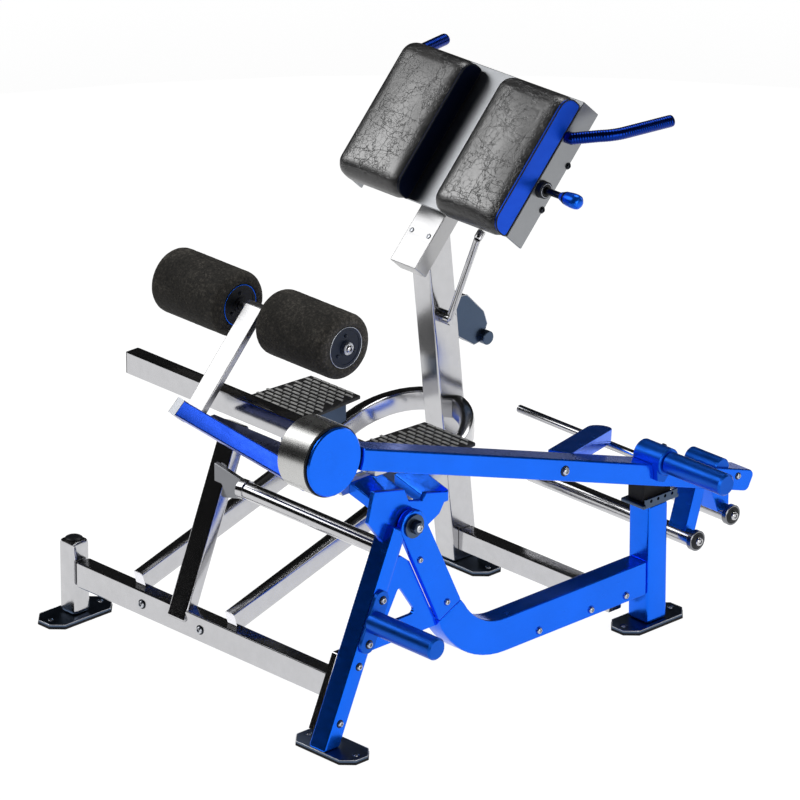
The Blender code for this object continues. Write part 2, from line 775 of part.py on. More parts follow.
def build_pivot():
    """The fixed axle, the bearing sleeve on it, and the drum with its cover that turn on it."""
    start = DRUM_X[0] - 0.032
    end = DRUM_X[1] - 0.0107
    axle = rod("pivot_axle", AXLE_RADIUS, (start, *PIVOT.yz), (end, *PIVOT.yz), steel(), 0.0018)
    nut_end = DRUM_X[0] - 0.0182
    collar = rod("axle_nut", 0.024, (start - 0.0036, *PIVOT.yz), (nut_end, *PIVOT.yz), steel(), 0.0018, 6)
    fuse(axle, collar)
    outer = 0.0356
    length = DRUM_X[1] - DRUM_X[0]
    ring = ring_profile(outer, AXLE_RADIUS + GAP, 0.0036, length - 0.0089, 0.0009)
    turned("pivot_bearing", ring, along((DRUM_X[0], *PIVOT.yz), (1.0, *PIVOT.yz)), steel())
    bore = outer + GAP
    profile = [
        (bore, length), (DRUM_RADIUS - 0.0044, length), (DRUM_RADIUS, length - 0.0044),
        (DRUM_RADIUS, 0.0036), (DRUM_RADIUS - 0.0036, 0.0), (bore, 0.0),
    ]
    drum = turned("hub_drum", profile, along((DRUM_X[0], *PIVOT.yz), (1.0, *PIVOT.yz)), chrome(), 40)
    face = DRUM_X[1] + GAP
    outside = face + COVER_THICKNESS
    rod("hub_cover", DRUM_RADIUS - 0.0036, (face, *PIVOT.yz), (outside, *PIVOT.yz), blue(), 0.0027, 40)
    return drum


def build_lever_arm():
    """The box arm from the drum to beyond the rear post, with its rounded rear end."""
    half = ARM[1] / 2
    soft = 0.0142
    rim = DRUM_RADIUS + GAP
    upper = math.degrees(math.asin((half + ARM_RISE) / rim))
    lower = math.degrees(math.asin((half - ARM_RISE) / rim))
    outline = arc((0.0, -ARM_RISE), rim, upper, -lower, 6) + [(ARM_LENGTH - 0.0178, -half)]
    outline += arc((ARM_LENGTH - soft - 0.0036, soft - half), soft, 290, 360, 4)
    outline += arc((ARM_LENGTH - soft, half - soft), soft, 0, 90, 5)
    start = arm_point(0.0)
    spot = side_view(ARM_X) @ Matrix.Translation((start.y, start.z, 0.0)) @ Matrix.Rotation(-DROOP, 4, "Z")
    return plate("lever_arm", [outline], ARM[0], spot, blue(), EDGE)


def build_cross_rail():
    """The rail that runs sideways from the arm to carry the rollers' upright."""
    right = ARM_X - ARM[0] / 2 - GAP
    centre = ((CROSS_RAIL_LEFT + right) / 2, CROSS_RAIL_Y, CROSS_RAIL_Z)
    return box("cross_rail", (right - CROSS_RAIL_LEFT, *CROSS_RAIL), centre, chrome(), 0.0044)


def upright_point(distance, height=0.0, x=0.0):
    """A point up the upright's front face, and a height out of that face."""
    lean = math.atan2(0.1825, 0.1958)
    start = (-0.7761, 0.5916)
    y = start[0] + distance * math.sin(lean) - height * math.cos(lean)
    z = start[1] + distance * math.cos(lean) + height * math.sin(lean)
    return Vector((x, y, z))


def build_roller_upright(cross_rail):
    """Flat bar with a round knuckle on top for the rollers' axle."""
    lean = math.atan2(0.1825, 0.1958)
    length = 0.2581
    thickness = 0.016
    middle = upright_point(length / 2, -thickness / 2)
    turn = Matrix.Rotation(-lean, 4, "X")
    bar = box("roller_upright", (0.0516, thickness, length), middle, chrome(), 0.0027, turn)
    axis = (ROLLER_Y, ROLLER_Z)
    knuckle = rod("upright_knuckle", 0.0196, (-0.0356, *axis), (0.0463, *axis), chrome(), 0.0018, 28)
    fuse(bar, knuckle)
    hole(bar, 0.0093, (-0.07, *axis), (0.07, *axis), 24)
    return seat(bar, cross_rail)


def build_roller_bar(drum, upright):
    """The slanted bar from the upright's foot to the drum, and the web that ties it to the cross rail."""
    start = Vector(ROLLER_BAR_START)
    end = Vector(ROLLER_BAR_END)
    direction = (end - start).normalized()
    face = Vector((0.0, -0.73, 0.68))
    side = face.cross(direction).normalized()
    out = direction.cross(side).normalized()
    turn = Matrix((
        (direction.x, side.x, out.x), (direction.y, side.y, out.y), (direction.z, side.z, out.z),
    )).to_4x4()
    length = (end - start).length
    bar = box("roller_bar", (length, 0.0374, 0.0303), (start + end) / 2, blue(), 0.0036, turn)
    seat(bar, drum)
    return seat(bar, upright)


def build_bar_web(bar, cross_rail, drum):
    """The dark web plate between the slanted bar and the cross rail."""
    outline = [(0.0271, -0.7743), (0.0271, -0.7031), (0.4139, -0.7031), (0.4139, -0.8544)]
    web = plate("bar_web", [outline], 0.0071, Matrix.Translation((0.0, 0.0, BAR_WEB_Z)), blue(), 0.0009)
    for neighbour in (bar, cross_rail, drum):
        seat(web, neighbour)
    return web


def build_rollers():
    """The fixed axle and, on each side, a hub with a foam sleeve that turns on it."""
    axis = (ROLLER_Y, ROLLER_Z)
    reach = ROLLER_INNER_X + ROLLER_LENGTH + 0.0071
    axle = rod("roller_axle", 0.0089, (-reach, *axis), (reach, *axis), steel(), 0.0009, 24)
    for side in (-1, 1):
        head_start = (side * (reach - 0.0053), *axis)
        head_end = (side * (reach + 0.0053), *axis)
        fuse(axle, rod(f"axle_head_{side + 1}", 0.0142, head_start, head_end, steel(), 0.0018, 16))
    hub_radius = 0.0463
    for name, side in (("left", -1), ("right", 1)):
        inner = Vector((side * ROLLER_INNER_X, *axis))
        outer = Vector((side * (ROLLER_INNER_X + ROLLER_LENGTH), *axis))
        bore = 0.0093
        flange = 0.0053
        spool = 0.0231
        hub = [
            (bore, ROLLER_LENGTH), (hub_radius, ROLLER_LENGTH),
            (hub_radius, ROLLER_LENGTH - flange), (spool, ROLLER_LENGTH - flange),
            (spool, flange), (hub_radius, flange), (hub_radius, 0.0), (bore, 0.0),
        ]
        turned(f"{name}_roller_hub", hub, along(inner, outer), rubber(), 24)
        build_foam(f"{name}_roller_foam", inner, outer, hub_radius, spool, flange)


def build_foam(name, inner, outer, hub_radius, spool, flange):
    """The foam sleeve: soft rounded rims, and a shallow seat for the hub's flange at each end."""
    low = -0.0036
    high = ROLLER_LENGTH + 0.0036
    soft = 0.0178
    rim = ROLLER_RADIUS - soft
    clear = 0.0005
    profile = [(hub_radius + clear, high)]
    for middle, angles in ((high - soft, (10, 35, 60, 90)), (low + soft, (90, 120, 145, 170))):
        for angle in map(math.radians, angles):
            profile.append((rim + soft * math.sin(angle), middle + soft * math.cos(angle)))
    profile += [
        (hub_radius + clear, low), (hub_radius + clear, flange + clear), (spool + clear, flange + clear),
        (spool + clear, ROLLER_LENGTH - flange - clear), (hub_radius + clear, ROLLER_LENGTH - flange - clear),
    ]
    return turned(name, profile, along(inner, outer), foam(), 28)


# Loading gear at the arm's rear


def build_loading_gear(arm):
    """Horn, rods and hangers that carry the plates."""
    axis = Vector(HORN_AXIS)
    socket_low = ARM_X - 0.0294
    socket_high = ARM_X + 0.0534
    socket = rod("horn_socket", 0.0312, (socket_low, *axis), (socket_high, *axis), blue(), 0.0027)
    saddle = [(-0.0303, -0.0053), (0.0303, -0.0053), (0.0107, -0.0463), (-0.0107, -0.0463)]
    out = side_view(ARM_X + ARM[0] / 2 + 0.0067)
    spot = out @ Matrix.Translation((*axis, 0.0)) @ Matrix.Rotation(-DROOP, 4, "Z")
    fuse(socket, plate("horn_saddle", [saddle], 0.0125, spot, blue(), 0.0009))
    seat(socket, arm)
    start = socket_high + GAP
    rod("lever_horn", HORN_RADIUS, (start, *axis), (start + 0.1736, *axis), blue(), 0.0044)
    rod_axis = Vector(INBOARD_AXIS)
    rod_bar = rod("inboard_rod", 0.0093, (0.1113, *rod_axis), (ARM_X, *rod_axis), chrome(), 0.0027, 20)
    seat(rod_bar, socket)
    seat(rod_bar, arm)
    build_rod_brace(arm, rod_axis)
    rear_at = arm_point(1.2193, 0.0214).yz
    rear = rod("rear_socket", 0.0231, (ARM_X - 0.075, *rear_at), (ARM_X + 0.0223, *rear_at), blue(), 0.0027)
    seat(rear, arm)
    lower = Vector(LOWER_BAR_AXIS)
    build_bar("lower_bar", 0.0668, 0.5803, lower)
    upper = Vector(REAR_BAR_AXIS)
    build_bar("rear_bar", 0.3293, 0.5785, upper)
    build_hanger("front_hanger", "lower_bar", lower, FRONT_HANGER, arm)
    build_hanger("rear_hanger", "rear_bar", upper, REAR_HANGER, arm)


def build_bar(name, left, right, axis):
    """A chrome bar with a thicker collar on its outer end."""
    bar = rod(name, 0.019, (left, *axis), (right - 0.0053, *axis), chrome(), 0.0018, 28)
    low = (right - 0.0107, *axis)
    high = (right + 0.0053, *axis)
    return fuse(bar, rod(name + "_end", 0.0227, low, high, rubber(), 0.0036, 28))


def build_hanger(name, bar_name, axis, ends, arm):
    """A block from the arm's underside down to a bar, with its lower end cut round the bar."""
    (low_front, low_back), (top_front, top_back) = ends
    z_top = PIVOT.z - ((top_front + top_back) / 2 - PIVOT.y) * math.tan(DROOP)
    outline = [(low_front, axis.y), (low_back, axis.y), (top_back, z_top), (top_front, z_top)]
    x_low = ARM_X - 0.0249
    hanger = side_plate(name, [outline], x_low, x_low + 0.0516, blue(), 0.0018)
    seat(hanger, arm)
    return seat(hanger, bpy.data.objects[bar_name])


def build_rod_brace(arm, axis):
    """The round-ended brace from the arm to the inboard rod."""
    rear = Vector((0.376, axis.x - 0.014, axis.y + 0.022))
    front = arm_point(0.768, 0.006, ARM_X - 0.049)
    direction = (rear - front).normalized()
    flat = Vector((direction.y, -direction.x, 0.0)).normalized()
    up = flat.cross(direction).normalized()
    if up.z < 0:
        up = -up
        flat = -flat
    turn = Matrix((
        (flat.x, direction.x, up.x), (flat.y, direction.y, up.y), (flat.z, direction.z, up.z),
    )).to_4x4()
    length = (rear - front).length
    half = 0.0276
    outline = [(half, 0.0), (half, length)] + arc((0.0, length), half, 0, 180, 10)[1:-1]
    outline += [(-half, length), (-half, 0.0)]
    brace = plate("rod_brace", [outline], 0.032, Matrix.Translation(front) @ turn, blue(), 0.0018)
    seat(brace, bpy.data.objects["inboard_rod"])
    return seat(brace, arm)


# Pads and their carrier


def pad_ring(inset, crown):
    """(distance up the incline, height) of points round a pad's side: a flat back and a rounded front."""
    soft = PAD_SOFT - inset
    seam = 0.0071
    low, high = PAD_START + inset, PAD_START + PAD_LENGTH - inset
    back, front = PAD_BACK, PAD_BACK + PAD_THICKNESS - inset
    points = arc((high - seam, back + seam), seam, 270, 360, 2)
    points += arc((high - soft, front - soft), soft, 0, 90, 6)
    points += [(high - soft + (low - high + 2 * soft) * step / 6, front) for step in range(1, 6)]
    points += arc((low + soft, front - soft), soft, 90, 180, 6)
    points += arc((low + seam, back + seam), seam, 180, 270, 2)
    middle = (low + high) / 2
    reach = (high - low) / 2
    fullness = PAD_CROWN * crown
    rise = [max(0.0, (height - back) / (front - back)) for _, height in points]
    return [
        (along_it, height + fullness * lift * (1 - ((along_it - middle) / reach) ** 2))
        for (along_it, height), lift in zip(points, rise)
    ]


def pad(name, x):
    """A cushion with a crowned front, rounded ends, soft seams and flat sides."""
    half = PAD_WIDTH / 2
    stations = [(half, 0.004, 0.0), (half - 0.0018, 0.0011, 0.1), (half - 0.0062, 0.0, 0.25)]
    stations += [(half - 0.0267, 0.0, 0.6), (half - 0.0623, 0.0, 0.9), (0.0, 0.0, 1.0)]
    stations += [(-across, inset, crown) for across, inset, crown in reversed(stations[:-1])]
    mesh = bpy.data.meshes.new(name)
    shape = bmesh.new()
    rings = []
    for across, inset, crown in stations:
        side = pad_ring(inset, crown)
        rings.append([shape.verts.new(incline_point(up, height, x + across)) for up, height in side])
    for first, second in zip(rings, rings[1:]):
        for index in range(len(first)):
            after = (index + 1) % len(first)
            shape.faces.new((first[index], first[after], second[after], second[index]))
    shape.faces.new(rings[0])
    shape.faces.new(rings[-1])
    bmesh.ops.recalc_face_normals(shape, faces=shape.faces)
    shape.to_mesh(mesh)
    shape.free()
    return place(mesh, name, leather())


def incline_section(name, outline, low, high, finish, edge=PLATE_EDGE):
    """A bar with an outline of (x, height over the rail's face), running from low to high up the incline."""
    middle = incline_point((low + high) / 2)
    across = Matrix(((1, 0, 0, 0), (0, 0, -1, 0), (0, 1, 0, 0), (0, 0, 0, 1)))
    spot = Matrix.Translation(middle) @ incline_turn() @ across
    return plate(name, [outline], high - low, spot, finish, edge)


def channel_outline(half, wall_x, top, wall_top, bottom):
    """Half widths and heights of a channel that is open towards the rail."""
    return [
        (-half, top), (-half, bottom), (wall_x - half, bottom), (wall_x - half, wall_top),
        (half - wall_x, wall_top), (half - wall_x, bottom), (half, bottom), (half, top),
    ]


def build_pad_carrier():
    """The channel behind the pads that slides on the incline rail."""
    top = PAD_BACK - GAP
    outline = channel_outline(CARRIER_HALF, 0.0071, top, top - 0.0071, -0.0303)
    return incline_section("pad_carrier", outline, CARRIER_START, CARRIER_END, steel())


def build_slide_shoe():
    """The plastic shoe that rides on the incline rail: a face and two cheeks round the rail."""
    outline = channel_outline(INCLINE_RAIL[0] / 2 + 0.016, 0.0156, PAD_BACK - 0.0079, GAP, -0.0356)
    return incline_section("slide_shoe", outline, PAD_START + 0.0534, PAD_START + 0.267, rubber())


def build_handle(name, side):
    """A bent handle from the carrier's side, out and then back away from the pads."""
    root = Vector((side * (CARRIER_HALF + GAP), *HANDLE_ROOT))
    bend = Vector((side * HANDLE_BEND[0], *HANDLE_BEND[1:]))
    end = Vector((side * HANDLE_END[0], *HANDLE_END[1:]))
    route = [root, root + Vector((side * 0.0107, 0.0, 0.0))]
    turn_in = (root - bend).normalized() * 0.0312
    turn_out = (end - bend).normalized() * 0.0312
    for step in range(9):
        t = step / 8
        route.append(bend + turn_in * (1 - t) ** 2 + turn_out * t ** 2)
    route.append(end)
    return bent_tube(name, route, HANDLE_RADIUS, blue(), 4)


def build_adjust_pin():
    """The sprung pull pin with its knob, in a collar on the carrier's side."""
    at = incline_point(PAD_START + 0.1424, 0.0098)
    face = CARRIER_HALF + GAP
    carrier = bpy.data.objects["pad_carrier"]
    low = (face - 0.0036, *at.yz)
    high = (face + 0.0142, *at.yz)
    collar = rod("pin_collar", 0.0187, low, high, dark_steel(), 0.0018, 24)
    fuse(carrier, collar)
    hole(carrier, 0.0085, (CARRIER_HALF - 0.02, *at.yz), (CARRIER_HALF + 0.03, *at.yz), 24)
    pin = rod("adjust_pin", 0.0076, (0.2243, *at.yz), (0.324, *at.yz), dark_steel(), 0.0009, 24)
    knob = [
        (0.0, 0.0552), (0.0089, 0.0552), (0.0147, 0.0498), (0.0165, 0.0356),
        (0.0147, 0.0125), (0.0107, 0.0036), (0.0089, 0.0), (0.0, 0.0),
    ]
    fuse(pin, turned("pin_knob", knob, along((0.3168, *at.yz), (1.0, *at.yz)), blue(), 24))
    return pin


def build_stay_rod():
    """The stay from a boss on the post's side up to the stop that the lowered carrier rests on."""
    boss = Vector((POST[0] / 2 + GAP, *STAY_BOSS))
    foot = boss + Vector((0.0178, 0.0, 0.0))
    head = incline_point(CARRIER_START - 0.0214, 0.0, STAY_HEAD_X)
    route = [foot, foot + (head - foot) * 0.5, head]
    stay = bent_tube("stay_rod", route, 0.008, chrome(), 4)
    fuse(stay, rod("stay_boss", 0.0151, boss, boss + Vector((0.0267, 0.0, 0.0)), dark_steel(), 0.0018, 24))
    stop = incline_point(CARRIER_START - 0.0004, 0.0, STAY_HEAD_X)
    tip = rod("stay_head", 0.0095, head, stop, rubber(), 0.0018, 20)
    fuse(stay, tip)
    return stay


def build_rear_bracket(post):
    """The plate bracket behind the post with the boss at its corner."""
    outline = [
        (-0.0401, 0.6442), (0.0178, 0.6379), (0.0694, 0.5845), (0.0801, 0.5525),
        (0.0659, 0.5169), (0.0401, 0.5133), (-0.0267, 0.5596),
    ]
    bracket = side_plate("rear_bracket", [outline], -0.0196, 0.0196, dark_steel())
    boss = (0.0712, 0.524)
    fuse(bracket, rod("bracket_boss", 0.016, (-0.0285, *boss), (0.0338, *boss), dark_steel(), 0.0018, 24))
    return seat(bracket, post)


def build_yoke_bolt():
    face = SIDE_X + RAIL_WIDTH / 2 + GAP
    washer = rod("yoke_bolt", 0.0267, (face, *STRUT_TOP), (face + 0.0044, *STRUT_TOP), chrome(), 0.0009, 28)
    low = (face + 0.0036, *STRUT_TOP)
    high = (face + 0.0178, *STRUT_TOP)
    fuse(washer, rod("yoke_bolt_head", 0.0151, low, high, chrome(), 0.0018, 6))
    return washer


def build_frame():
    build_feet()
    build_front_left_post()
    leg = build_front_right_leg()
    front_tube = build_front_cross_tube()
    build_rear_post()
    build_rear_post_cap()
    build_side_rail()
    strut = build_side_strut()
    gusset = build_leg_gusset()
    for neighbour in (leg, strut, bpy.data.objects["side_rail"]):
        seat(gusset, neighbour)
    build_base_cross_tube()
    build_storage_horn()
    post = build_main_post()
    build_incline_rail()
    u_tube = seat(build_u_tube(), front_tube)
    seat(post, u_tube)
    centre_leg = build_centre_leg(front_tube)
    build_bar_bracket(build_upper_cross_bar(leg), centre_leg)
    build_tread("left", -1, u_tube)
    build_tread("right", 1, u_tube)
    yoke = build_yoke(leg)
    seat(strut, yoke)
    seat(leg, strut)
    build_pivot_bracket(yoke)
    build_stay_rod()
    build_rear_bracket(post)
    build_yoke_bolt()


def build_lever():
    drum = build_pivot()
    arm = build_lever_arm()
    rail = build_cross_rail()
    upright = build_roller_upright(rail)
    bar = build_roller_bar(drum, upright)
    build_bar_web(bar, rail, drum)
    build_rollers()
    build_loading_gear(arm)


def build_pads():
    build_pad_carrier()
    build_slide_shoe()
    for name, side in (("left", -1), ("right", 1)):
        pad(f"{name}_pad", side * PAD_X)
        build_handle(f"{name}_handle", side)
    build_adjust_pin()


clear_scene()
build_frame()
build_lever()
build_pads()
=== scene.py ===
"""The look of a plate-loaded hip extension machine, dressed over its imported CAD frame.

Metres, +Z up. +X is the side of the loading lever and +Y is the direction that the user faces.
"""

import math

import bmesh
import bpy
import numpy as np
from mathutils import Matrix, Vector, noise


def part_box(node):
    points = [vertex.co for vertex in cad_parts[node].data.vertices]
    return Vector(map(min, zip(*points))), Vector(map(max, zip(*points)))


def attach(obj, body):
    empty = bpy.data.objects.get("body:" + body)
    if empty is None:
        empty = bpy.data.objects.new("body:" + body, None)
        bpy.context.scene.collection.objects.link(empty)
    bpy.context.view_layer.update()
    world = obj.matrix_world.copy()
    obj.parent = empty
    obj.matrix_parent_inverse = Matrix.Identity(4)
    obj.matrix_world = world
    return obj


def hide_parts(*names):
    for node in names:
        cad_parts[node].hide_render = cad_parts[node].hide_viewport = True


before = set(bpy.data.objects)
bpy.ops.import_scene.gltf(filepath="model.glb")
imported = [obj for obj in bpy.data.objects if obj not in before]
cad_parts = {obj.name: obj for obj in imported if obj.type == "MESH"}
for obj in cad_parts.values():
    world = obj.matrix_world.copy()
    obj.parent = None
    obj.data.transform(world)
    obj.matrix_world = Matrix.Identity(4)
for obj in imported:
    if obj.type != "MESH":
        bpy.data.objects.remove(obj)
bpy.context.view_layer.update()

# The photograph's view
AZIMUTH = math.radians(46.4)
ELEVATION = math.radians(22.8)
LENS = 360.0                     # millimetres, on a sensor 36 mm wide
SENSOR = 36.0
IMAGE_SIZE = 800.0
CAMERA_DISTANCE = 17.8
ANCHOR = Vector((0.0534, 0.0, 0.0))      # a point of the floor, at the main post's foot
ANCHOR_PIXEL = (471.0, 566.85)           # where the photograph shows it

# Directions of the machine
LEVER_SIDE = Vector((1.0, 0.0, 0.0))
FRONT = Vector((0.0, -1.0, 0.0))
UP = Vector((0.0, 0.0, 1.0))
LEG_LEAN = math.radians(24.1)
INCLINE = math.radians(47.0)
INCLINE_TURN = Matrix.Rotation(INCLINE, 4, "X")      # +Y then runs up the incline, +Z out of its face
INCLINE_OUT = INCLINE_TURN @ UP

# Pads
VOXEL = 0.005
PAD_SLACK = 0.0035               # how far the cushion starts inside its CAD solid
PAD_SINK = 0.003                 # how far it is set down before it swells
PAD_CROWN = 0.004
PAD_SWELL = 0.0055               # the most that a point of it may move
PAD_SIDE_ROUND = 0.030           # rounding between a pad's front and its sides, across the pad
PAD_SIDE_DROP = 0.014            # the same rounding, down the pad's side
PAD_END_ROUND = 0.040            # rounding of a pad's ends
PAD_LEAST_ROUND = 0.006
PAD_BACK_INSET = 0.3             # how much of an inset the pad's back takes
PAD_SEAM = 0.0075                # rounding along its back
PAD_EVENING = 60                 # passes that even out the swelling
PAD_SEAM_STEPS = 3
PAD_END_STEPS = 12
PAD_SIDE_STEPS = 10
HELD_BACK = 0.010                # how far up from its back the cloth is fixed
HELD_SIDE = 0.0045               # and in from its sides
CREASE_DEPTH = 0.00025
CREASE_SCALES = (17.0, 2.3)      # of the noise that makes the creases, and times that for the fine ones
CREASE_WIDTHS = (0.07, 0.06)     # how much of the noise's height a crease takes up, broad and fine
CREASE_BEND = (30.0, 0.35, 2.0)  # scale and reach of the noise that bends them, and times that for fine ones
CREASE_PATCHES = 9.0             # scale of the patches that have creases
PATCH_EDGES = ((2.2, 0.55), (2.0, 0.35))         # (steepness, share) of the patches, broad and fine
FINE_CREASE = 0.45               # depth of a fine crease against a broad one
PANEL_INSET = 0.0085             # from a pad's outline to its side panel
FAR_PANEL_INSET = 0.0180         # the same on the side away from the lever
PANEL_SINK = 0.001
PANEL_STEPS = (                  # (inset, how far it stands out) of the rings from the seam to the flat
    (0.0, -0.0060), (0.0004, -0.0008), (0.0014, 0.0), (0.0040, 0.0002),
)
PIPING_RADIUS = 0.0017
PIPING_DEPTH = 0.0010

# Rollers
FOAM_ROUND = 0.0178
FOAM_PORE = 0.0004
FOAM_ROUGHNESS = ((210.0, 1.0), (90.0, 0.6))     # (scale, share) of the noises that make the pores
FOAM_SEEDS = {"left": 5.0, "right": 11.0}
FOAM_SIDES = 150
FOAM_ROWS = 44
FOAM_GAP = 0.0008                # between a hub and the foam's bore
FOAM_LIP = ((-0.001, 0.012), (0.0, 0.005), (0.0015, 0.0015))     # (beyond the bore, in from the end)
HUB_RIM = (0.0008, 0.0016, 0.0010)       # (in from the hub's edge, height, thickness) of its rim ring
BOSS_RING = 0.027
BOSS_SEAT = 0.0008
BOSS = ((0.0, 0.0040), (0.0028, 0.0038), (0.0040, 0.0026), (0.0042, 0.0))      # (radius, height)

# Treads
TREAD_TAPER = 0.0311             # how much narrower a tread is at its back
TREAD_MARGIN = (0.009, 0.0075)   # from a tread's outline to the nearest dash's middle
TREAD_ROWS_MARGIN = 0.010
TREAD_PITCH = (0.0262, 0.0150)   # spacing of the dashes across and along a tread
TREAD_DASH = (0.0215, 0.0088, 0.0026)
DASH_CHAMFER = 0.0011
DASH_SINK = 0.0003
DASH_END_WIDTH = 0.35            # shares of a dash's width, and of its height that its ends lose
DASH_END_DROP = 0.45
DASH_TOLERANCE = 0.0001          # for picking out a dash's ends

# Handles
HANDLE_BEND = Vector((0.3307, 0.1576, 1.0621))
HANDLE_BEND_REACH = 0.0312       # how far from its corner the bend starts
HANDLE_ROOT = 0.0107             # straight length at the carrier
HANDLE_ROOT_LIFT = 0.0005        # of the root above the bend's lowest point
HANDLE_TIP = 0.0028              # from the handle's furthest point back to its middle line's end
HANDLE_RADIUS = 0.0129
GRIP_WALL = 0.0003
GRIP_ROUND = 0.005
RIB_PITCH = 0.0058
RIB_HEIGHT = 0.0005
RIB_SOFTNESS = 0.6               # power of the cosine that shapes a rib
RINGS_TO_A_RIB = 6
GRIP_SIDES = 28

# Feet, plates and caps
FOOT_CORNER = 0.0254             # how much is cut off a foot's corners
FOOT_PAD_REACH = 0.0014          # how far the rubber stands out under a foot
FOOT_PAD_STEPS = ((0.0, 0.0010), (0.0010, 0.0), (0.0045, 0.0), (0.0055, 0.0010))       # (z, inset)
FOOT_BOLT_STEP = 0.073
EDGE_DEPTH = 0.0020              # how far a plate's rounded edge reaches below its face
EDGE_SHORTEST = 0.0015           # closer corners of a plate's outline count as one
EDGE_SUNK = 0.9                  # how far the bead lies below the face, in radii
EDGE_INSET = 0.2                 # and in from the edge
# Radii of the painted highlight beads along the feet's top edges and the rear bracket's outline
FOOT_HIGHLIGHT_BEAD = 0.0010
REAR_BRACKET_HIGHLIGHT_BEAD = 0.0014
REAR_BRACKET_FACE = 0.0196       # x of the bracket's face on the lever's side
PLUG_STEPS = ((0.0015, -0.001), (0.0018, 0.0016), (0.0042, 0.0026))      # (inset, how far it stands out)
POST_CAP = ((0.0, 0.0052), (0.010, 0.0046), (0.0165, 0.0028), (0.0195, 0.0008), (0.0198, 0.0))
CORNERS = ((-1, -1), (1, -1), (1, 1), (-1, 1))

# Lever
ROLLER_BAR_START = Vector((-0.0401, -0.7845, 0.583))
ROLLER_BAR_END = Vector((0.4773, -0.8951, 0.6066))
ROLLER_BAR_FACE = Vector((0.0, -0.73, 0.68))
BAR_CAP = (                      # (beyond the bar's end, half width, half height) of the cap's rings
    (-0.0260, 0.0189, 0.0154), (-0.0255, 0.0195, 0.0160), (0.0, 0.0195, 0.0160), (0.0022, 0.0189, 0.0152),
    (0.0040, 0.0160, 0.0120),
)
WEB_SLOT = 0.030                 # open slot between the cross rail and the bar's web
WEB_EDGE = 0.0009
WEB_OVERLAP = 0.008              # how far the web reaches under the bar
BAR_END_CAP = (                  # (share of the bar's radius, height)
    (0.0, 0.0030), (0.56, 0.0030), (0.64, 0.0012), (0.78, 0.0012), (0.84, 0.0004), (0.84, -0.0010),
)
BAR_END_BAND = ((0.84, 0.0), (0.96, 0.0004), (1.02, -0.0008), (1.02, -0.0120))

# The pull pin
CARRIER_SIDE = 0.2544            # outer side of the pad carrier
KNOB_LENGTH = 0.0552
COLLAR = (                       # (radius, height)
    (0.0086, 0.0148), (0.0120, 0.0152), (0.0165, 0.0150), (0.0188, 0.0138), (0.0190, 0.0110),
    (0.0190, 0.0020), (0.0200, 0.0008), (0.0200, 0.0),
)
COLLAR_RING = 0.0152             # radius and height of the collar's bright ring
COLLAR_RING_THICKNESS = 0.0008

# Bolts and screws
WASHER_REACH = 1.35              # a washer's radius, in radii of its bolt's head
WASHER_THICKNESS = 0.18
WASHER_EDGE = 0.35               # its chamfer, in thicknesses
HEAD_HEIGHT = 0.62
HEAD_DOME = ((1.0, 0.0), (1.0, 0.35), (0.88, 0.78), (0.66, 1.0))     # shares of a head's (radius, height)
HEAD_SOCKET = ((0.95, 1.0), (0.90, 0.35), (0.0, 0.35))       # likewise (width across flats, height)
AXLE_BOLT = (0.0092, 0.0042)     # (radius, height) of a head
BAR_END_BOLT = (0.0098, 0.0058)
FOOT_BOLT = (0.0052, 0.0040)
YOKE_BOLT = (0.0092, 0.0030)
HORN_SCREW = (0.0058, 0.0036)
INCLINE_SCREW = (0.0060, 0.0016)
FRONT_TUBE_BOLTS_X = (-0.1150, 0.0718)
FRONT_TUBE_BOLTS_Z = 0.1122
FRONT_TUBE_HALF = 0.020
FRONT_TUBE_BOLT = 0.0080         # radius of a head
SIDE_BOLTS = {                   # (carrying node, radius of the heads, washers' finish, (y, z) places)
    "leg_bolt": ("front_right_leg", 0.0068, "black_steel", ((-0.8148, 0.1806), (-0.8702, 0.0658))),
    "rail_bolt": ("side_rail", 0.0068, "deep_blue", ((-0.2833, 0.099), (-0.1252, 0.099), (-0.0178, 0.099))),
    "strut_bolt": ("side_strut", 0.0062, "deep_blue", ((-0.6386, 0.3740), (-0.5590, 0.2520))),
}
LEG_FRONT_TO_MIDDLE = 0.0230     # from the leg's front face to its middle line, along Y
STORAGE_HORN_Z = 0.2737
FLANGE_THICKNESS = 0.0092
FLANGE_BOLT = 0.0074
FLANGE_BOLT_STEP = 0.049
BRACKET_BOLT = 0.0058
BRACKET_BOLT_YZ = (-0.7261, 0.5460)
HORN_AXIS_YZ = (0.0846, 0.3923)
HORN_SOCKET_RADIUS = 0.0306
HORN_SCREW_X = 0.55
HORN_SCREW_OUT = Vector((0.0, 0.551, 0.834))
ARM_BOLTS = ((-0.2128, 0.4537, 0.0090), (0.3230, 0.2826, 0.0062))        # (y, z, radius of the head)
INCLINE_SCREW_X = 0.0266
INCLINE_SCREW_UP = 0.079         # from the rail's lower end
CARRIER_BOLT = 0.0058
CARRIER_BOLTS_YZ = ((0.0935, 0.9869), (0.0153, 0.9056))

# Stage
STAGE_MIDDLE = Vector((0.1, -0.3, 0.55))         # what the lamps face
LAMPS = {                        # (direction, distance, width, height, brightness seen from the middle)
    "key": ((-0.668, -0.430, 0.607), 3.4, 1.8, 1.8, 3.3),
    "overhead": ((-0.10, 0.45, 0.89), 3.3, 1.6, 1.2, 5.0),
    "lever_side": ((0.95, -0.10, 0.20), 3.4, 3.0, 1.6, 3.5),
    "rear_fill": ((0.25, 0.95, 0.30), 3.0, 1.8, 1.2, 1.2),
}
FLOOR_COLOUR = (0.80, 0.80, 0.80)
FLOOR_LIT = 0.35                 # how much of its lamp light still shows
FLOOR_GLOW = 0.94                # how white the floor shows near the machine
GLOW_NEAR = 2.0                  # distances over which that rises to plain white
GLOW_FAR = 4.0
WHITE = (1.0, 1.0, 1.0, 1.0)
SKY = (0.9, 0.93, 1.0, 1.0)
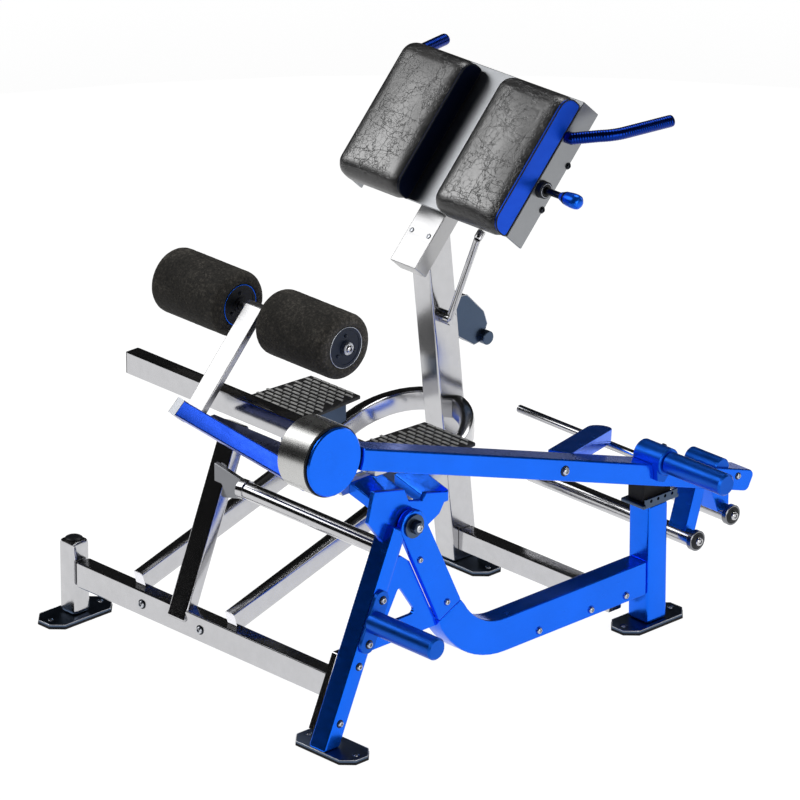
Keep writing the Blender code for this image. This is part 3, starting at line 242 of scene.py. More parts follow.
DARK = (0.01, 0.01, 0.01, 1.0)
FLOOR_SIZE = 60.0
CEILING_HEIGHT = 4.2
CEILING_SIZE = 22.0
WALL_MIDDLE = Vector((1.0, -1.0, 0.001))
WALL_RADIUS = 4.5


# Node trees


def add_node(tree, kind, inputs, **settings):
    """Adds a node, sets what it is told, and links or fills its inputs."""
    node = tree.nodes.new(kind)
    for setting, value in settings.items():
        setattr(node, setting, value)
    for socket, value in inputs.items():
        if isinstance(value, bpy.types.NodeSocket):
            tree.links.new(value, node.inputs[socket])
        else:
            node.inputs[socket].default_value = value
    return node


def surface_place(tree):
    return tree.nodes.new("ShaderNodeTexCoord").outputs["Object"]


def squareness(tree, direction):
    """How squarely the surface looks along a direction: 1 is straight along it, 0 is edge on."""
    normal = tree.nodes.new("ShaderNodeTexCoord").outputs["Normal"]
    inputs = {0: normal, 1: direction}
    return add_node(tree, "ShaderNodeVectorMath", inputs, operation="DOT_PRODUCT").outputs["Value"]


def grain(tree, place, scale, detail=3.0, roughness=0.5):
    inputs = {"Vector": place, "Scale": scale, "Detail": detail, "Roughness": roughness}
    return add_node(tree, "ShaderNodeTexNoise", inputs).outputs["Fac"]


def cells(tree, place, scale, feature):
    inputs = {"Vector": place, "Scale": scale}
    return add_node(tree, "ShaderNodeTexVoronoi", inputs, feature=feature).outputs["Distance"]


def stretched(tree, place, scale):
    inputs = {"Vector": place, "Scale": scale}
    return add_node(tree, "ShaderNodeMapping", inputs).outputs["Vector"]


def remap(tree, value, low, high, new_low, new_high):
    inputs = {"Value": value, "From Min": low, "From Max": high, "To Min": new_low, "To Max": new_high}
    return add_node(tree, "ShaderNodeMapRange", inputs).outputs["Result"]


def ramp(tree, value, stops):
    """A colour ramp through (position, colour) stops."""
    node = add_node(tree, "ShaderNodeValToRGB", {"Fac": value})
    elements = node.color_ramp.elements
    while len(elements) < len(stops):
        elements.new(0.5)
    for element, (position, colour) in zip(elements, stops):
        element.position = position
        element.color = (*colour, 1.0)
    return node.outputs["Color"]


def combine(tree, operation, first, second):
    return add_node(tree, "ShaderNodeMath", {0: first, 1: second}, operation=operation).outputs["Value"]


def mixed(tree, first, second, share):
    """A share of the first value and the rest of the second."""
    part = combine(tree, "MULTIPLY", first, share)
    rest = combine(tree, "MULTIPLY", second, 1.0 - share)
    return combine(tree, "ADD", part, rest)


def bump(tree, height, strength, distance, before=None):
    inputs = {"Height": height, "Strength": strength, "Distance": distance}
    if before is not None:
        inputs["Normal"] = before
    return add_node(tree, "ShaderNodeBump", inputs).outputs["Normal"]


def shade(colour, factor):
    return tuple(channel * factor for channel in colour)


def start_material(name, metallic, **constants):
    """A material with a Principled shader whose constant sockets are set by name."""
    made = bpy.data.materials.new(name)
    made.use_nodes = True
    tree = made.node_tree
    sockets = tree.nodes["Principled BSDF"].inputs
    sockets["Metallic"].default_value = metallic
    for socket, value in constants.items():
        sockets[socket.replace("_", " ")].default_value = value
    return made, tree, sockets


def wire(tree, sockets, **sources):
    for socket, source in sources.items():
        tree.links.new(source, sockets[socket.replace("_", " ")])


# Materials


def paint(name, colour, metallic=0.82, roughness=0.22):
    """Metallic gloss paint: slight clouding, orange peel and duller patches from handling."""
    made, tree, sockets = start_material(name, metallic, Specular_IOR_Level=0.25)
    place = surface_place(tree)
    clouds = grain(tree, place, 7.0, 4.0)
    peel = grain(tree, place, 420.0, 2.0)
    smears = grain(tree, stretched(tree, place, (9.0, 9.0, 40.0)), 3.0, 5.0, 0.6)
    tint = ramp(tree, clouds, [(0.30, shade(colour, 0.92)), (0.70, shade(colour, 1.04))])
    dull = remap(tree, smears, 0.35, 0.70, roughness - 0.04, roughness + 0.06)
    wire(tree, sockets, Base_Color=tint, Roughness=dull, Normal=bump(tree, peel, 0.04, 0.0002))
    return made


def plated(name, colour, roughness):
    """Polished plated steel with fine polishing streaks and faint marks."""
    made, tree, sockets = start_material(name, 1.0)
    place = surface_place(tree)
    streaks = grain(tree, stretched(tree, place, (2.0, 2.0, 60.0)), 12.0, 4.0, 0.6)
    marks = grain(tree, place, 38.0, 6.0, 0.65)
    tint = ramp(tree, marks, [(0.30, shade(colour, 0.93)), (0.65, colour)])
    dull = remap(tree, mixed(tree, streaks, marks, 0.6), 0.35, 0.65, roughness * 0.9, roughness * 1.12)
    wire(tree, sockets, Base_Color=tint, Roughness=dull, Normal=bump(tree, streaks, 0.01, 0.0001))
    return made


def dark_plastic(name, colour, roughness=0.45):
    """Moulded plastic or rubber with a fine spark-eroded texture."""
    made, tree, sockets = start_material(name, 0.0, Specular_IOR_Level=0.22)
    place = surface_place(tree)
    texture = grain(tree, place, 900.0, 2.0)
    wear = grain(tree, place, 22.0, 4.0)
    tint = ramp(tree, wear, [(0.30, shade(colour, 0.75)), (0.72, shade(colour, 1.35))])
    dull = remap(tree, wear, 0.3, 0.7, roughness - 0.06, roughness + 0.10)
    wire(tree, sockets, Base_Color=tint, Roughness=dull, Normal=bump(tree, texture, 0.18, 0.0004))
    return made


def wrinkles(tree, place, scale, wander, width):
    """Thin wandering lines: the borders of cells whose coordinates are bent by noise."""
    bent = {"Vector": place, "Scale": scale * 0.7, "Detail": 5.0, "Roughness": 0.6}
    bend = add_node(tree, "ShaderNodeTexNoise", bent).outputs["Color"]
    size = {0: bend, 3: wander / scale}
    shift = add_node(tree, "ShaderNodeVectorMath", size, operation="SCALE").outputs["Vector"]
    ends = {0: place, 1: shift}
    moved = add_node(tree, "ShaderNodeVectorMath", ends, operation="ADD").outputs["Vector"]
    return remap(tree, cells(tree, moved, scale, "DISTANCE_TO_EDGE"), 0.0, width, 1.0, 0.0)


def leather(name, colour, pale, roughness):
    """Glossy upholstery: pores, thin wrinkles with painted shade in their bottoms, paler patches of wear,
    and a painted sheen from a coat that is full on the front and thin on the rounded sides.
    """
    made, tree, sockets = start_material(
        name, 0.0, Coat_Weight=1.0, Coat_IOR=2.3, Coat_Roughness=0.34, Specular_IOR_Level=0.5,
    )
    place = surface_place(tree)
    pores = cells(tree, place, 620.0, "DISTANCE_TO_EDGE")
    patches = grain(tree, place, 11.0, 4.0, 0.6)
    gaps = remap(tree, grain(tree, place, 13.0, 3.0), 0.30, 0.48, 0.0, 1.0)
    upward = wrinkles(tree, stretched(tree, place, (1.0, 0.42, 0.42)), 24.0, 2.6, 0.020)
    across = wrinkles(tree, stretched(tree, place, (0.38, 1.0, 1.0)), 21.0, 2.6, 0.020)
    small = wrinkles(tree, place, 70.0, 2.0, 0.034)
    folds = combine(tree, "MAXIMUM", upward, combine(tree, "MULTIPLY", across, 0.8))
    folds = combine(tree, "MAXIMUM", folds, combine(tree, "MULTIPLY", small, 0.35))
    folds = combine(tree, "MULTIPLY", folds, gaps)
    # Paler patches of wear, with painted shade darkening the colour in the bottoms of the creases
    wear_and_crease_shade = combine(tree, "SUBTRACT", patches, combine(tree, "MULTIPLY", folds, 0.30))
    tint = ramp(tree, wear_and_crease_shade, [(0.10, shade(colour, 0.5)), (0.45, colour), (0.75, pale)])
    dull = remap(tree, patches, 0.3, 0.7, roughness - 0.06, roughness + 0.08)
    rough_skin = bump(tree, pores, 0.10, 0.0004)
    creased = bump(tree, combine(tree, "SUBTRACT", 1.0, folds), 0.42, 0.0010, rough_skin)
    # Painted sheen: the coat is full where the surface faces out of the incline and thin on the rounded
    # sides, so those sides come out darker
    painted_front_sheen = remap(tree, squareness(tree, INCLINE_OUT), 0.72, 0.97, 0.12, 1.0)
    wire(tree, sockets, Base_Color=tint, Roughness=dull, Normal=creased)
    wire(tree, sockets, Coat_Weight=painted_front_sheen, Coat_Normal=creased)
    return made


def foam_skin():
    """Closed-cell foam: mottled warm grey and black, full of small pits."""
    made, tree, sockets = start_material("roller_foam", 0.0, Specular_IOR_Level=0.35)
    place = surface_place(tree)
    mottle = grain(tree, place, 150.0, 6.0, 0.75)
    broad = grain(tree, place, 16.0, 3.0)
    pits = cells(tree, place, 330.0, "F1")
    stops = [(0.36, (0.008, 0.008, 0.007)), (0.52, (0.050, 0.046, 0.040)), (0.68, (0.190, 0.175, 0.150))]
    tint = ramp(tree, mixed(tree, mottle, broad, 0.75), stops)
    dull = remap(tree, mottle, 0.3, 0.7, 0.70, 0.92)
    pitted = bump(tree, combine(tree, "ADD", pits, mottle), 0.65, 0.0011)
    wire(tree, sockets, Base_Color=tint, Roughness=dull, Normal=pitted)
    return made


def tread_metal(name, dark, pale):
    """Gritty grip plate metal, mottled between a dark and a pale tone."""
    made, tree, sockets = start_material(name, 0.0)
    place = surface_place(tree)
    grit = grain(tree, place, 260.0, 6.0, 0.8)
    wear = grain(tree, place, 45.0, 4.0, 0.6)
    tint = ramp(tree, mixed(tree, grit, wear, 0.65), [(0.38, dark), (0.62, pale)])
    dull = remap(tree, grit, 0.3, 0.7, 0.40, 0.65)
    wire(tree, sockets, Base_Color=tint, Roughness=dull, Normal=bump(tree, grit, 0.5, 0.0009))
    return made


FINISHES = {
    "blue": paint("blue_gloss", (0.005, 0.150, 0.950)),
    "deep_blue": paint("deep_blue_gloss", (0.003, 0.070, 0.640), 0.82, 0.26),
    "satin_blue": paint("satin_blue", (0.004, 0.105, 0.620), 0.80, 0.38),
    "chrome": plated("bright_chrome", (0.55, 0.55, 0.565), 0.16),
    "silver": plated("silver_steel", (0.47, 0.47, 0.475), 0.33),
    "shaded_chrome": plated("shaded_chrome", (0.22, 0.225, 0.24), 0.24),
    "carrier": plated("carrier_steel", (0.33, 0.34, 0.355), 0.34),
    "brushed": plated("brushed_chrome", (0.55, 0.55, 0.54), 0.27),
    "satin": plated("satin_steel", (0.56, 0.58, 0.62), 0.36),
    "gun": plated("gun_steel", (0.070, 0.100, 0.155), 0.30),
    "black_steel": plated("black_steel", (0.030, 0.034, 0.042), 0.28),
    "leather": leather("black_leather", (0.020, 0.020, 0.021), (0.060, 0.058, 0.056), 0.34),
    "blue_vinyl": paint("blue_vinyl", (0.004, 0.090, 0.760), 0.6, 0.36),
    # A dark copy of the blue vinyl: painted shade for the pad sides away from the light
    "blue_vinyl_painted_shade": paint("blue_vinyl_painted_shade", (0.002, 0.006, 0.028), 0.5, 0.40),
    "navy": paint("navy_gloss", (0.002, 0.014, 0.085), 0.7, 0.30),
    "foam": foam_skin(),
    "rubber": dark_plastic("black_rubber", (0.012, 0.012, 0.013), 0.60),
    "plastic": dark_plastic("black_plastic", (0.014, 0.016, 0.020), 0.38),
    "hub": dark_plastic("slate_hub", (0.012, 0.018, 0.034), 0.34),
    "grip": paint("blue_grip", (0.002, 0.024, 0.230), 0.92, 0.24),
    "knob": paint("blue_knob", (0.004, 0.130, 0.860), 0.7, 0.32),
    # The plate takes a near-black tone as painted shade between the dashes, and the dashes a pale one as a
    # painted highlight on their tops
    "tread": tread_metal("tread_plate", (0.004, 0.004, 0.005), (0.045, 0.045, 0.044)),
    "tread_dash": tread_metal("tread_dash", (0.260, 0.260, 0.256), (0.900, 0.900, 0.880)),
}

NODE_FINISHES = {
    "chrome": [
        "front_left_post", "front_cross_tube", "base_cross_tube", "main_post",
        "u_tube", "centre_leg", "upper_cross_bar", "cross_rail",
        "lower_bar", "rear_bar", "inboard_rod", "stay_rod",
    ],
    "silver": ["incline_rail", "roller_upright"],
    "shaded_chrome": ["bar_bracket"],
    "satin_blue": ["storage_horn", "lever_horn", "horn_socket", "rear_socket"],
    "carrier": ["pad_carrier"],
    "blue": [
        "front_right_leg", "rear_post", "side_rail", "side_strut", "leg_gusset", "yoke", "hub_cover",
        "lever_arm", "rod_brace", "front_hanger", "rear_hanger",
    ],
    "deep_blue": ["roller_bar"],
    "brushed": ["hub_drum"],
    "satin": ["pivot_bracket", "pivot_axle", "pivot_bearing", "roller_axle"],
    "gun": [
        "front_left_foot", "front_right_foot", "main_foot", "rear_right_foot", "rear_post_cap",
        "rear_bracket", "left_tread_bracket", "right_tread_bracket", "yoke_bolt",
    ],
    "black_steel": ["adjust_pin"],
    "rubber": ["rear_bumper"],
    "plastic": ["slide_shoe"],
    "hub": ["left_roller_hub", "right_roller_hub"],
    "tread": ["left_tread", "right_tread"],
    "grip": ["left_handle", "right_handle"],
    "leather": ["left_pad", "right_pad"],
    "foam": ["left_roller_foam", "right_roller_foam"],
}


# Making pieces


def smooth_by_angle(thing, angle=math.radians(32)):
    """Smooth shading that breaks at sharp edges and leaves flat faces looking flat."""
    mesh = thing.data
    if "custom_normal" in mesh.attributes:
        mesh.attributes.remove(mesh.attributes["custom_normal"])
    mesh.polygons.foreach_set("use_smooth", [True] * len(mesh.polygons))
    joined = thing.modifiers.new("joined", "WELD")
    joined.merge_threshold = 0.00002
    split = thing.modifiers.new("split", "EDGE_SPLIT")
    split.split_angle = angle
    split.use_edge_sharp = False
    even = thing.modifiers.new("even", "WEIGHTED_NORMAL")
    even.mode = "FACE_AREA"
    even.weight = 100
    return thing


def give_finish(thing, finish):
    """Gives an object a finish's material."""
    thing.data.materials.clear()
    thing.data.materials.append(FINISHES[finish])


def dress_nodes():
    for finish, names in NODE_FINISHES.items():
        for name in names:
            give_finish(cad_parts[name], finish)
            smooth_by_angle(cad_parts[name])


def put_in_scene(name, data):
    made = bpy.data.objects.new(name, data)
    bpy.context.scene.collection.objects.link(made)
    return made


def add_piece(name, mesh, finish, body, matrix=None):
    """A new named object in the machine's frame, riding on a body."""
    if matrix is not None:
        mesh.transform(matrix)
    made = put_in_scene(name, mesh)
    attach(made, body)
    give_finish(made, finish)
    return made


def mesh_from(name, vertices, faces, smooth=True):
    mesh = bpy.data.meshes.new(name)
    mesh.from_pydata([tuple(v) for v in vertices], [], faces)
    shape = bmesh.new()
    shape.from_mesh(mesh)
    bmesh.ops.remove_doubles(shape, verts=shape.verts, dist=0.000001)
    bmesh.ops.recalc_face_normals(shape, faces=shape.faces)
    shape.to_mesh(mesh)
    shape.free()
    mesh.polygons.foreach_set("use_smooth", [smooth] * len(mesh.polygons))
    return mesh


def skin(name, rings, caps=(0, -1), loop=False, smooth=True):
    """A mesh through rings of points. Caps are the rings that a flat face closes."""
    sides = len(rings[0])
    vertices = [point for ring in rings for point in ring]
    faces = []
    for row in range(len(rings) if loop else len(rings) - 1):
        near, far = row * sides, (row + 1) % len(rings) * sides
        faces += [(near + i, near + (i + 1) % sides, far + (i + 1) % sides, far + i) for i in range(sides)]
    for cap in caps:
        start = cap % len(rings) * sides
        faces.append(tuple(range(start, start + sides)))
    return mesh_from(name, vertices, faces, smooth)


def full_circle(steps):
    return [2 * math.pi * step / steps for step in range(steps)]


def lathe(name, profile, sides=48):
    """A profile of (radius, height) points turned about +Z."""
    rings = [[(r * math.cos(a), r * math.sin(a), h) for a in full_circle(sides)] for r, h in profile]
    return skin(name, rings, caps=())


def join(name, meshes):
    shape = bmesh.new()
    for mesh in meshes:
        shape.from_mesh(mesh)
    joined = bpy.data.meshes.new(name)
    shape.to_mesh(joined)
    shape.free()
    return joined


def along(start, end):
    """Matrix that carries a shape on +Z from the origin to lie from start towards end."""
    start = Vector(start)
    direction = Vector(end) - start
    return Matrix.Translation(start) @ direction.to_track_quat("Z", "Y").to_matrix().to_4x4()


def facing(place, axis):
    """Matrix that puts a shape's +Z on an axis at a place."""
    return along(place, Vector(place) + Vector(axis))


def middle_of(node):
    low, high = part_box(node)
    return (low + high) / 2


def across_bar(node):
    """Lowest and highest x, the axis's (y, z), and the radius of a node that is round about X."""
    low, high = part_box(node)
    return low.x, high.x, tuple(middle_of(node).yz), (high.z - low.z) / 2


def turned_piece(name, profile, matrix, finish, body, sides=48):
    made = add_piece(name, lathe(name, profile, sides), finish, body, matrix)
    return smooth_by_angle(made, math.radians(40))


def seat_circle(seat, radius, height, steps):
    """Points of a circle round a seat's axis, at a height above it."""
    return [seat @ Vector((radius * math.cos(a), radius * math.sin(a), height)) for a in full_circle(steps)]


def route_frames(route, loop):
    """For each point of a route, two directions across it, which turn as little as they can."""
    frames = []
    last = len(route) - 1
    for index in range(len(route)):
        before = route[index - 1 if index or loop else 0]
        after = route[index + 1 if index < last else (0 if loop else last)]
        tangent = (after - before).normalized()
        first = first - tangent * first.dot(tangent) if index else tangent.orthogonal()
        first = first.normalized()
        frames.append((first, tangent.cross(first)))
    return frames


def circle(centre, first, second, radius, sides):
    angles = full_circle(sides)
    return [centre + first * (radius * math.cos(a)) + second * (radius * math.sin(a)) for a in angles]


def ring_tube(name, route, radius, finish, body, sides=10):
    """A thin closed ring of a material along a route of points, such as piping."""
    frames = route_frames(route, True)
    rings = [circle(point, *across, radius, sides) for point, across in zip(route, frames)]
    return add_piece(name, skin(name, rings, caps=(), loop=True), finish, body)


def hexagon_radius(angle, across):
    """Distance from a hexagon's middle to its side at an angle; across is from flat to flat."""
    sector = math.pi / 3
    return across / 2 / math.cos((angle % sector) - sector / 2)


def socket_bolt(name, size, matrix, finish, body):
    """A domed bolt head with a hexagon socket; size is its (radius, height)."""
    radius, height = size
    angles = full_circle(24)
    reaches = [([radius * share] * len(angles), height * level) for share, level in HEAD_DOME]
    for share, level in HEAD_SOCKET:
        reaches.append(([hexagon_radius(a, radius * share) for a in angles], height * level))
    rings = [[(r * math.cos(a), r * math.sin(a), z) for r, a in zip(reach, angles)] for reach, z in reaches]
    made = add_piece(name, skin(name, rings, caps=()), finish, body, matrix)
    return smooth_by_angle(made, math.radians(35))


def washer(name, radius, thickness, matrix, finish, body):
    edge = thickness * WASHER_EDGE
    profile = [(0.0, thickness), (radius - edge, thickness), (radius, thickness - edge), (radius, 0.0)]
    return turned_piece(name, profile, matrix, finish, body, 32)


def fastener(name, place, axis, radius, body, finish="chrome", ring="satin"):
    """A socket bolt on its washer, standing on a surface."""
    seat = facing(place, axis)
    thickness = radius * WASHER_THICKNESS
    washer(name + "_washer", radius * WASHER_REACH, thickness, seat, ring, body)
    lifted = seat @ Matrix.Translation((0.0, 0.0, thickness))
    return socket_bolt(name, (radius, radius * HEAD_HEIGHT), lifted, finish, body)


# Pads


def incline_box(node):
    """Lowest and highest corner of a CAD node along X, up the incline and out of its face."""
    back = INCLINE_TURN.inverted()
    points = np.array([back @ v.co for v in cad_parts[node].data.vertices])
    return Vector(points.min(0)), Vector(points.max(0))


def arc(centre, radius, first, last, steps):
    points = []
    for step in range(steps + 1):
        angle = math.radians(first + (last - first) * step / steps)
        points.append((centre[0] + radius * math.cos(angle), centre[1] + radius * math.sin(angle)))
    return points


def pad_outline(low, high, inset):
    """(up the incline, height) of points round a pad's side, drawn in by an inset."""
    soft = max(PAD_END_ROUND - inset, PAD_LEAST_ROUND)
    start, end = low.y + inset, high.y - inset
    back, front = low.z + inset * PAD_BACK_INSET, high.z - inset
    steps = PAD_END_STEPS
    points = arc((end - PAD_SEAM, back + PAD_SEAM), PAD_SEAM, 270, 360, PAD_SEAM_STEPS)
    points += arc((end - soft, front - soft), soft, 0, 90, steps)
    points += [(end - soft + (start - end + 2 * soft) * step / steps, front) for step in range(1, steps)]
    points += arc((start + soft, front - soft), soft, 90, 180, steps)
    points += arc((start + PAD_SEAM, back + PAD_SEAM), PAD_SEAM, 180, 270, PAD_SEAM_STEPS)
    return points


def pad_stations(half):
    """(across, inset) from one side of a pad to the other: a rounded shoulder, the flat, a shoulder."""
    stations = []
    steps = PAD_SIDE_STEPS
    for step in range(steps + 1):
        angle = math.radians(90 * step / steps)
        across = half - PAD_SIDE_ROUND * (1 - math.cos(angle))
        stations.append((across, PAD_SIDE_DROP * (1 - math.sin(angle))))
    stations += [((half - PAD_SIDE_ROUND) * (1 - step / steps), 0.0) for step in range(1, steps + 1)]
    return stations + [(-across, inset) for across, inset in reversed(stations[:-1])]


def pad_shell(name, low, high):
    """A closed pad in the incline's frame: rounded ends, soft edges and a crowned front."""
    half = (high.x - low.x) / 2
    reach = (high.y - low.y) / 2
    middle = (low + high) / 2
    rings = []
    for across, inset in pad_stations(half):
        crown = PAD_CROWN * (1 - (across / half) ** 2)
        ring = []
        for up, height in pad_outline(low, high, inset + PAD_SLACK):
            share = max(0.0, (height - low.z) / (high.z - low.z))
            fullness = crown * share * (1 - ((up - middle.y) / reach) ** 2)
            ring.append((middle.x + across, up, height - PAD_SINK + fullness))
        rings.append(ring)
    return skin(name, rings)


def evaluated(thing):
    """The mesh of an object with its modifiers applied."""
    graph = bpy.context.evaluated_depsgraph_get()
    return bpy.data.meshes.new_from_object(thing.evaluated_get(graph))


def voxelled(thing, size):
    remesh = thing.modifiers.new("voxels", "REMESH")
    remesh.mode = "VOXEL"
    remesh.voxel_size = size
    remesh.use_smooth_shade = True
    mesh = evaluated(thing)
    thing.modifiers.clear()
    thing.data = mesh


def subdivided(thing):
    finer = thing.modifiers.new("finer", "SUBSURF")
    finer.levels = 1
    finer.render_levels = 1
    mesh = evaluated(thing)
    thing.modifiers.clear()
    thing.data = mesh
    mesh.polygons.foreach_set("use_smooth", [True] * len(mesh.polygons))


def coordinates(mesh):
    places = np.empty(len(mesh.vertices) * 3, np.float32)
    mesh.vertices.foreach_get("co", places)
    return places.reshape(-1, 3).astype(float)


def set_coordinates(mesh, places):
    mesh.vertices.foreach_set("co", places.astype(np.float32).ravel())
    mesh.update()


def evened(mesh, moved, held, passes):
    """Spreads each point's move over its neighbours, so that a swelling has no pinched corners."""
    ends = np.empty(len(mesh.edges) * 2, np.int32)
    mesh.edges.foreach_get("vertices", ends)
    ends = ends.reshape(-1, 2)
    both = np.concatenate((ends, ends[:, ::-1]))
    count = np.bincount(both[:, 0], minlength=len(moved))[:, None]
    for _ in range(passes):
        total = np.zeros_like(moved)
        for axis in range(3):
            total[:, axis] = np.bincount(both[:, 0], weights=moved[both[:, 1], axis], minlength=len(moved))
        moved = np.where(held[:, None], 0.0, total / count)
    return moved


def add_cloth(thing, held, frames):
    """Stiff cover cloth under air pressure, without gravity, fixed at the held points."""
    group = thing.vertex_groups.new(name="held")
    group.add([int(i) for i in np.nonzero(held)[0]], 1.0, "REPLACE")
    cloth = thing.modifiers.new("cloth", "CLOTH")
    cloth.settings.quality = 6
    cloth.settings.mass = 0.25
    cloth.settings.tension_stiffness = 25
    cloth.settings.compression_stiffness = 18
    cloth.settings.bending_stiffness = 1.2
    cloth.settings.use_pressure = True
    cloth.settings.uniform_pressure_force = 4.0
    cloth.settings.vertex_group_mass = "held"
    cloth.settings.effector_weights.gravity = 0.0
    cloth.point_cache.frame_start = 1
    cloth.point_cache.frame_end = frames


def puff(thing, held, frames=20):
    """Swells a closed cushion by air pressure and keeps the result, capped and evened out."""
    rest = coordinates(thing.data)
    add_cloth(thing, held, frames)
    scene = bpy.context.scene
    for number in range(1, frames + 1):
        scene.frame_set(number)
        bpy.context.view_layer.update()
    moved = coordinates(evaluated(thing)) - rest
    length = np.maximum(np.linalg.norm(moved, axis=1), 1e-9)
    moved *= np.minimum(1.0, PAD_SWELL / length)[:, None]
    capped = rest + evened(thing.data, moved, held, PAD_EVENING)
    thing.modifiers.clear()
    thing.vertex_groups.clear()
    set_coordinates(thing.data, capped)
    scene.frame_set(1)


def crease_share(place, offset):
    """How deep the creases are at a place: thin valleys of noise in patches, with finer ones between."""
    scale, finer = CREASE_SCALES
    bend_scale, bend_reach, more_bent = CREASE_BEND
    broad = place * scale + offset
    bend = noise.noise_vector(place * bend_scale + offset) * bend_reach
    heights = noise.noise(broad + bend), noise.noise(broad * finer + bend * more_bent + offset)
    where = noise.noise(place * CREASE_PATCHES - offset)
    valley, fine = [max(0.0, 1.0 - abs(height) / width) for height, width in zip(heights, CREASE_WIDTHS)]
    patch, fine_patch = [max(0.0, min(1.0, where * steep + share)) for steep, share in PATCH_EDGES]
    return valley * patch + FINE_CREASE * fine * fine_patch


def crease(thing, seed):
    """Presses branching creases into the front of a cushion."""
    mesh = thing.data
    offset = Vector((seed * 3.7, seed * 1.3, 0.0))
    places = coordinates(mesh)
    for index, vertex in enumerate(mesh.vertices):
        depth = CREASE_DEPTH * crease_share(vertex.co, offset) * max(0.0, vertex.normal.z)
        places[index] -= np.array(vertex.normal) * depth
    set_coordinates(mesh, places)


def build_cushion(side, node, seed):
    low, high = incline_box(node)
    name = side + "_cushion"
    cushion = put_in_scene(name, pad_shell(name, low, high))
    voxelled(cushion, VOXEL)
    places = coordinates(cushion.data)
    from_middle = np.abs(places[:, 0] - (high.x + low.x) / 2)
    held = (places[:, 2] < low.z + HELD_BACK) | (from_middle > (high.x - low.x) / 2 - HELD_SIDE)
    puff(cushion, held)
    subdivided(cushion)
    crease(cushion, seed)
    give_finish(cushion, "leather")
    cushion.data.transform(INCLINE_TURN)
    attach(cushion, "pads")
    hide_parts(node)
    build_side_panel(side + "_lever_side", high.x, 1.0, low, high)
    build_side_panel(side + "_far_side", low.x, -1.0, low, high)


def build_side_panel(name, x, out, low, high):
    """The flat vinyl panel sewn into a pad's side, with the piping round it."""
    rim = PANEL_INSET if out > 0 else FAR_PANEL_INSET
    rings = []
    for inset, lift in PANEL_STEPS:
        outline = pad_outline(low, high, rim + inset)
        rings.append([(x + out * lift, up, height - PANEL_SINK) for up, height in outline])
    # Only the right pad's lever side takes the bright blue vinyl; the other panels take its dark copy as
    # painted shade
    vinyl = "blue_vinyl" if name == "right_lever_side" else "blue_vinyl_painted_shade"
    panel = add_piece(name + "_side_panel", skin(name, rings, caps=(-1,)), vinyl, "pads", INCLINE_TURN)
    smooth_by_angle(panel, math.radians(50))
    route = [
        INCLINE_TURN @ Vector((x - out * PIPING_DEPTH, up, height - PANEL_SINK))
        for up, height in pad_outline(low, high, rim)
    ]
    ring_tube(name + "_piping", route, PIPING_RADIUS, "plastic", "pads")


# Rollers


def build_foam(side):
    """A foam sleeve with rounded rims, over its hub."""
    node = side + "_roller_foam"
    low_x, high_x, axis, radius = across_bar(node)
    bore = across_bar(side + "_roller_hub")[3] + FOAM_GAP
    length = high_x - low_x
    straight = length - 2 * FOAM_ROUND
    profile = [(bore + out, depth) for out, depth in FOAM_LIP]
    profile += [(r, h) for h, r in arc((FOAM_ROUND, radius - FOAM_ROUND), FOAM_ROUND, 175, 90, 9)]
    profile += [(radius, FOAM_ROUND + straight * row / FOAM_ROWS) for row in range(1, FOAM_ROWS)]
    profile += [(r, h) for h, r in arc((length - FOAM_ROUND, radius - FOAM_ROUND), FOAM_ROUND, 90, 5, 9)]
    profile += [(bore + out, length - depth) for out, depth in reversed(FOAM_LIP)]
    mesh = lathe(node, profile, FOAM_SIDES)
    seed = Vector((FOAM_SEEDS[side], 0.0, 0.0))
    for vertex in mesh.vertices:
        rough = sum(share * noise.noise(vertex.co * scale + seed) for scale, share in FOAM_ROUGHNESS)
        outward = Vector((vertex.co.x, vertex.co.y, 0.0)).normalized()
        vertex.co += outward * (FOAM_PORE * rough - FOAM_PORE)
    foam = add_piece(side + "_foam", mesh, "foam", side + "_roller", along((low_x, *axis), (high_x, *axis)))
    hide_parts(node)


def hub_disc(radius):
    """(radius, height) of a hub's end disc: a raised middle, a flat and a low rim."""
    return [
        (0.0100, 0.0034), (0.0165, 0.0034), (0.0175, 0.0012), (radius - 0.0085, 0.0010),
        (radius - 0.0075, 0.0022), (radius - 0.0020, 0.0022), (radius - 0.0006, 0.0008),
        (radius - 0.0006, 0.0),
    ]


def hub_bosses():
    """Three moulded bosses round a hub's middle."""
    bosses = []
    for step in range(3):
        angle = math.radians(90 + 120 * step)
        boss = lathe("boss", BOSS, 20)
        place = (BOSS_RING * math.cos(angle), BOSS_RING * math.sin(angle), BOSS_SEAT)
        boss.transform(Matrix.Translation(place))
        bosses.append(boss)
    return join("bosses", bosses)


def build_hub_faces(side):
    """Moulded discs on both ends of a roller, with a rim ring and bosses."""
    low_x, high_x, axis, radius = across_bar(side + "_roller_hub")
    body = side + "_roller"
    inset, height, thickness = HUB_RIM
    for end, x, out in (("low", low_x, -1), ("high", high_x, 1)):
        seat = facing((x, *axis), LEVER_SIDE * out)
        name = f"{side}_hub_{end}"
        # The left roller's inner end, between the rollers, is painted darker as shade: a black plastic disc
        # and a blue rim ring in place of slate and satin
        painted_shade_end = side == "left" and end == "high"
        turned_piece(name + "_disc", hub_disc(radius), seat, "plastic" if painted_shade_end else "hub", body, 64)
        route = seat_circle(seat, radius - inset, height, 72)
        ring_tube(name + "_rim", route, thickness, "blue" if painted_shade_end else "satin", body, 8)
        add_piece(name + "_bosses", hub_bosses(), "hub", body, seat)


def build_axle_bolts():
    low_x, high_x, axis, _ = across_bar("roller_axle")
    for end, x, out in (("low", low_x, -1), ("high", high_x, 1)):
        socket_bolt(f"axle_bolt_{end}", AXLE_BOLT, facing((x, *axis), LEVER_SIDE * out), "chrome", "lever")


# Treads


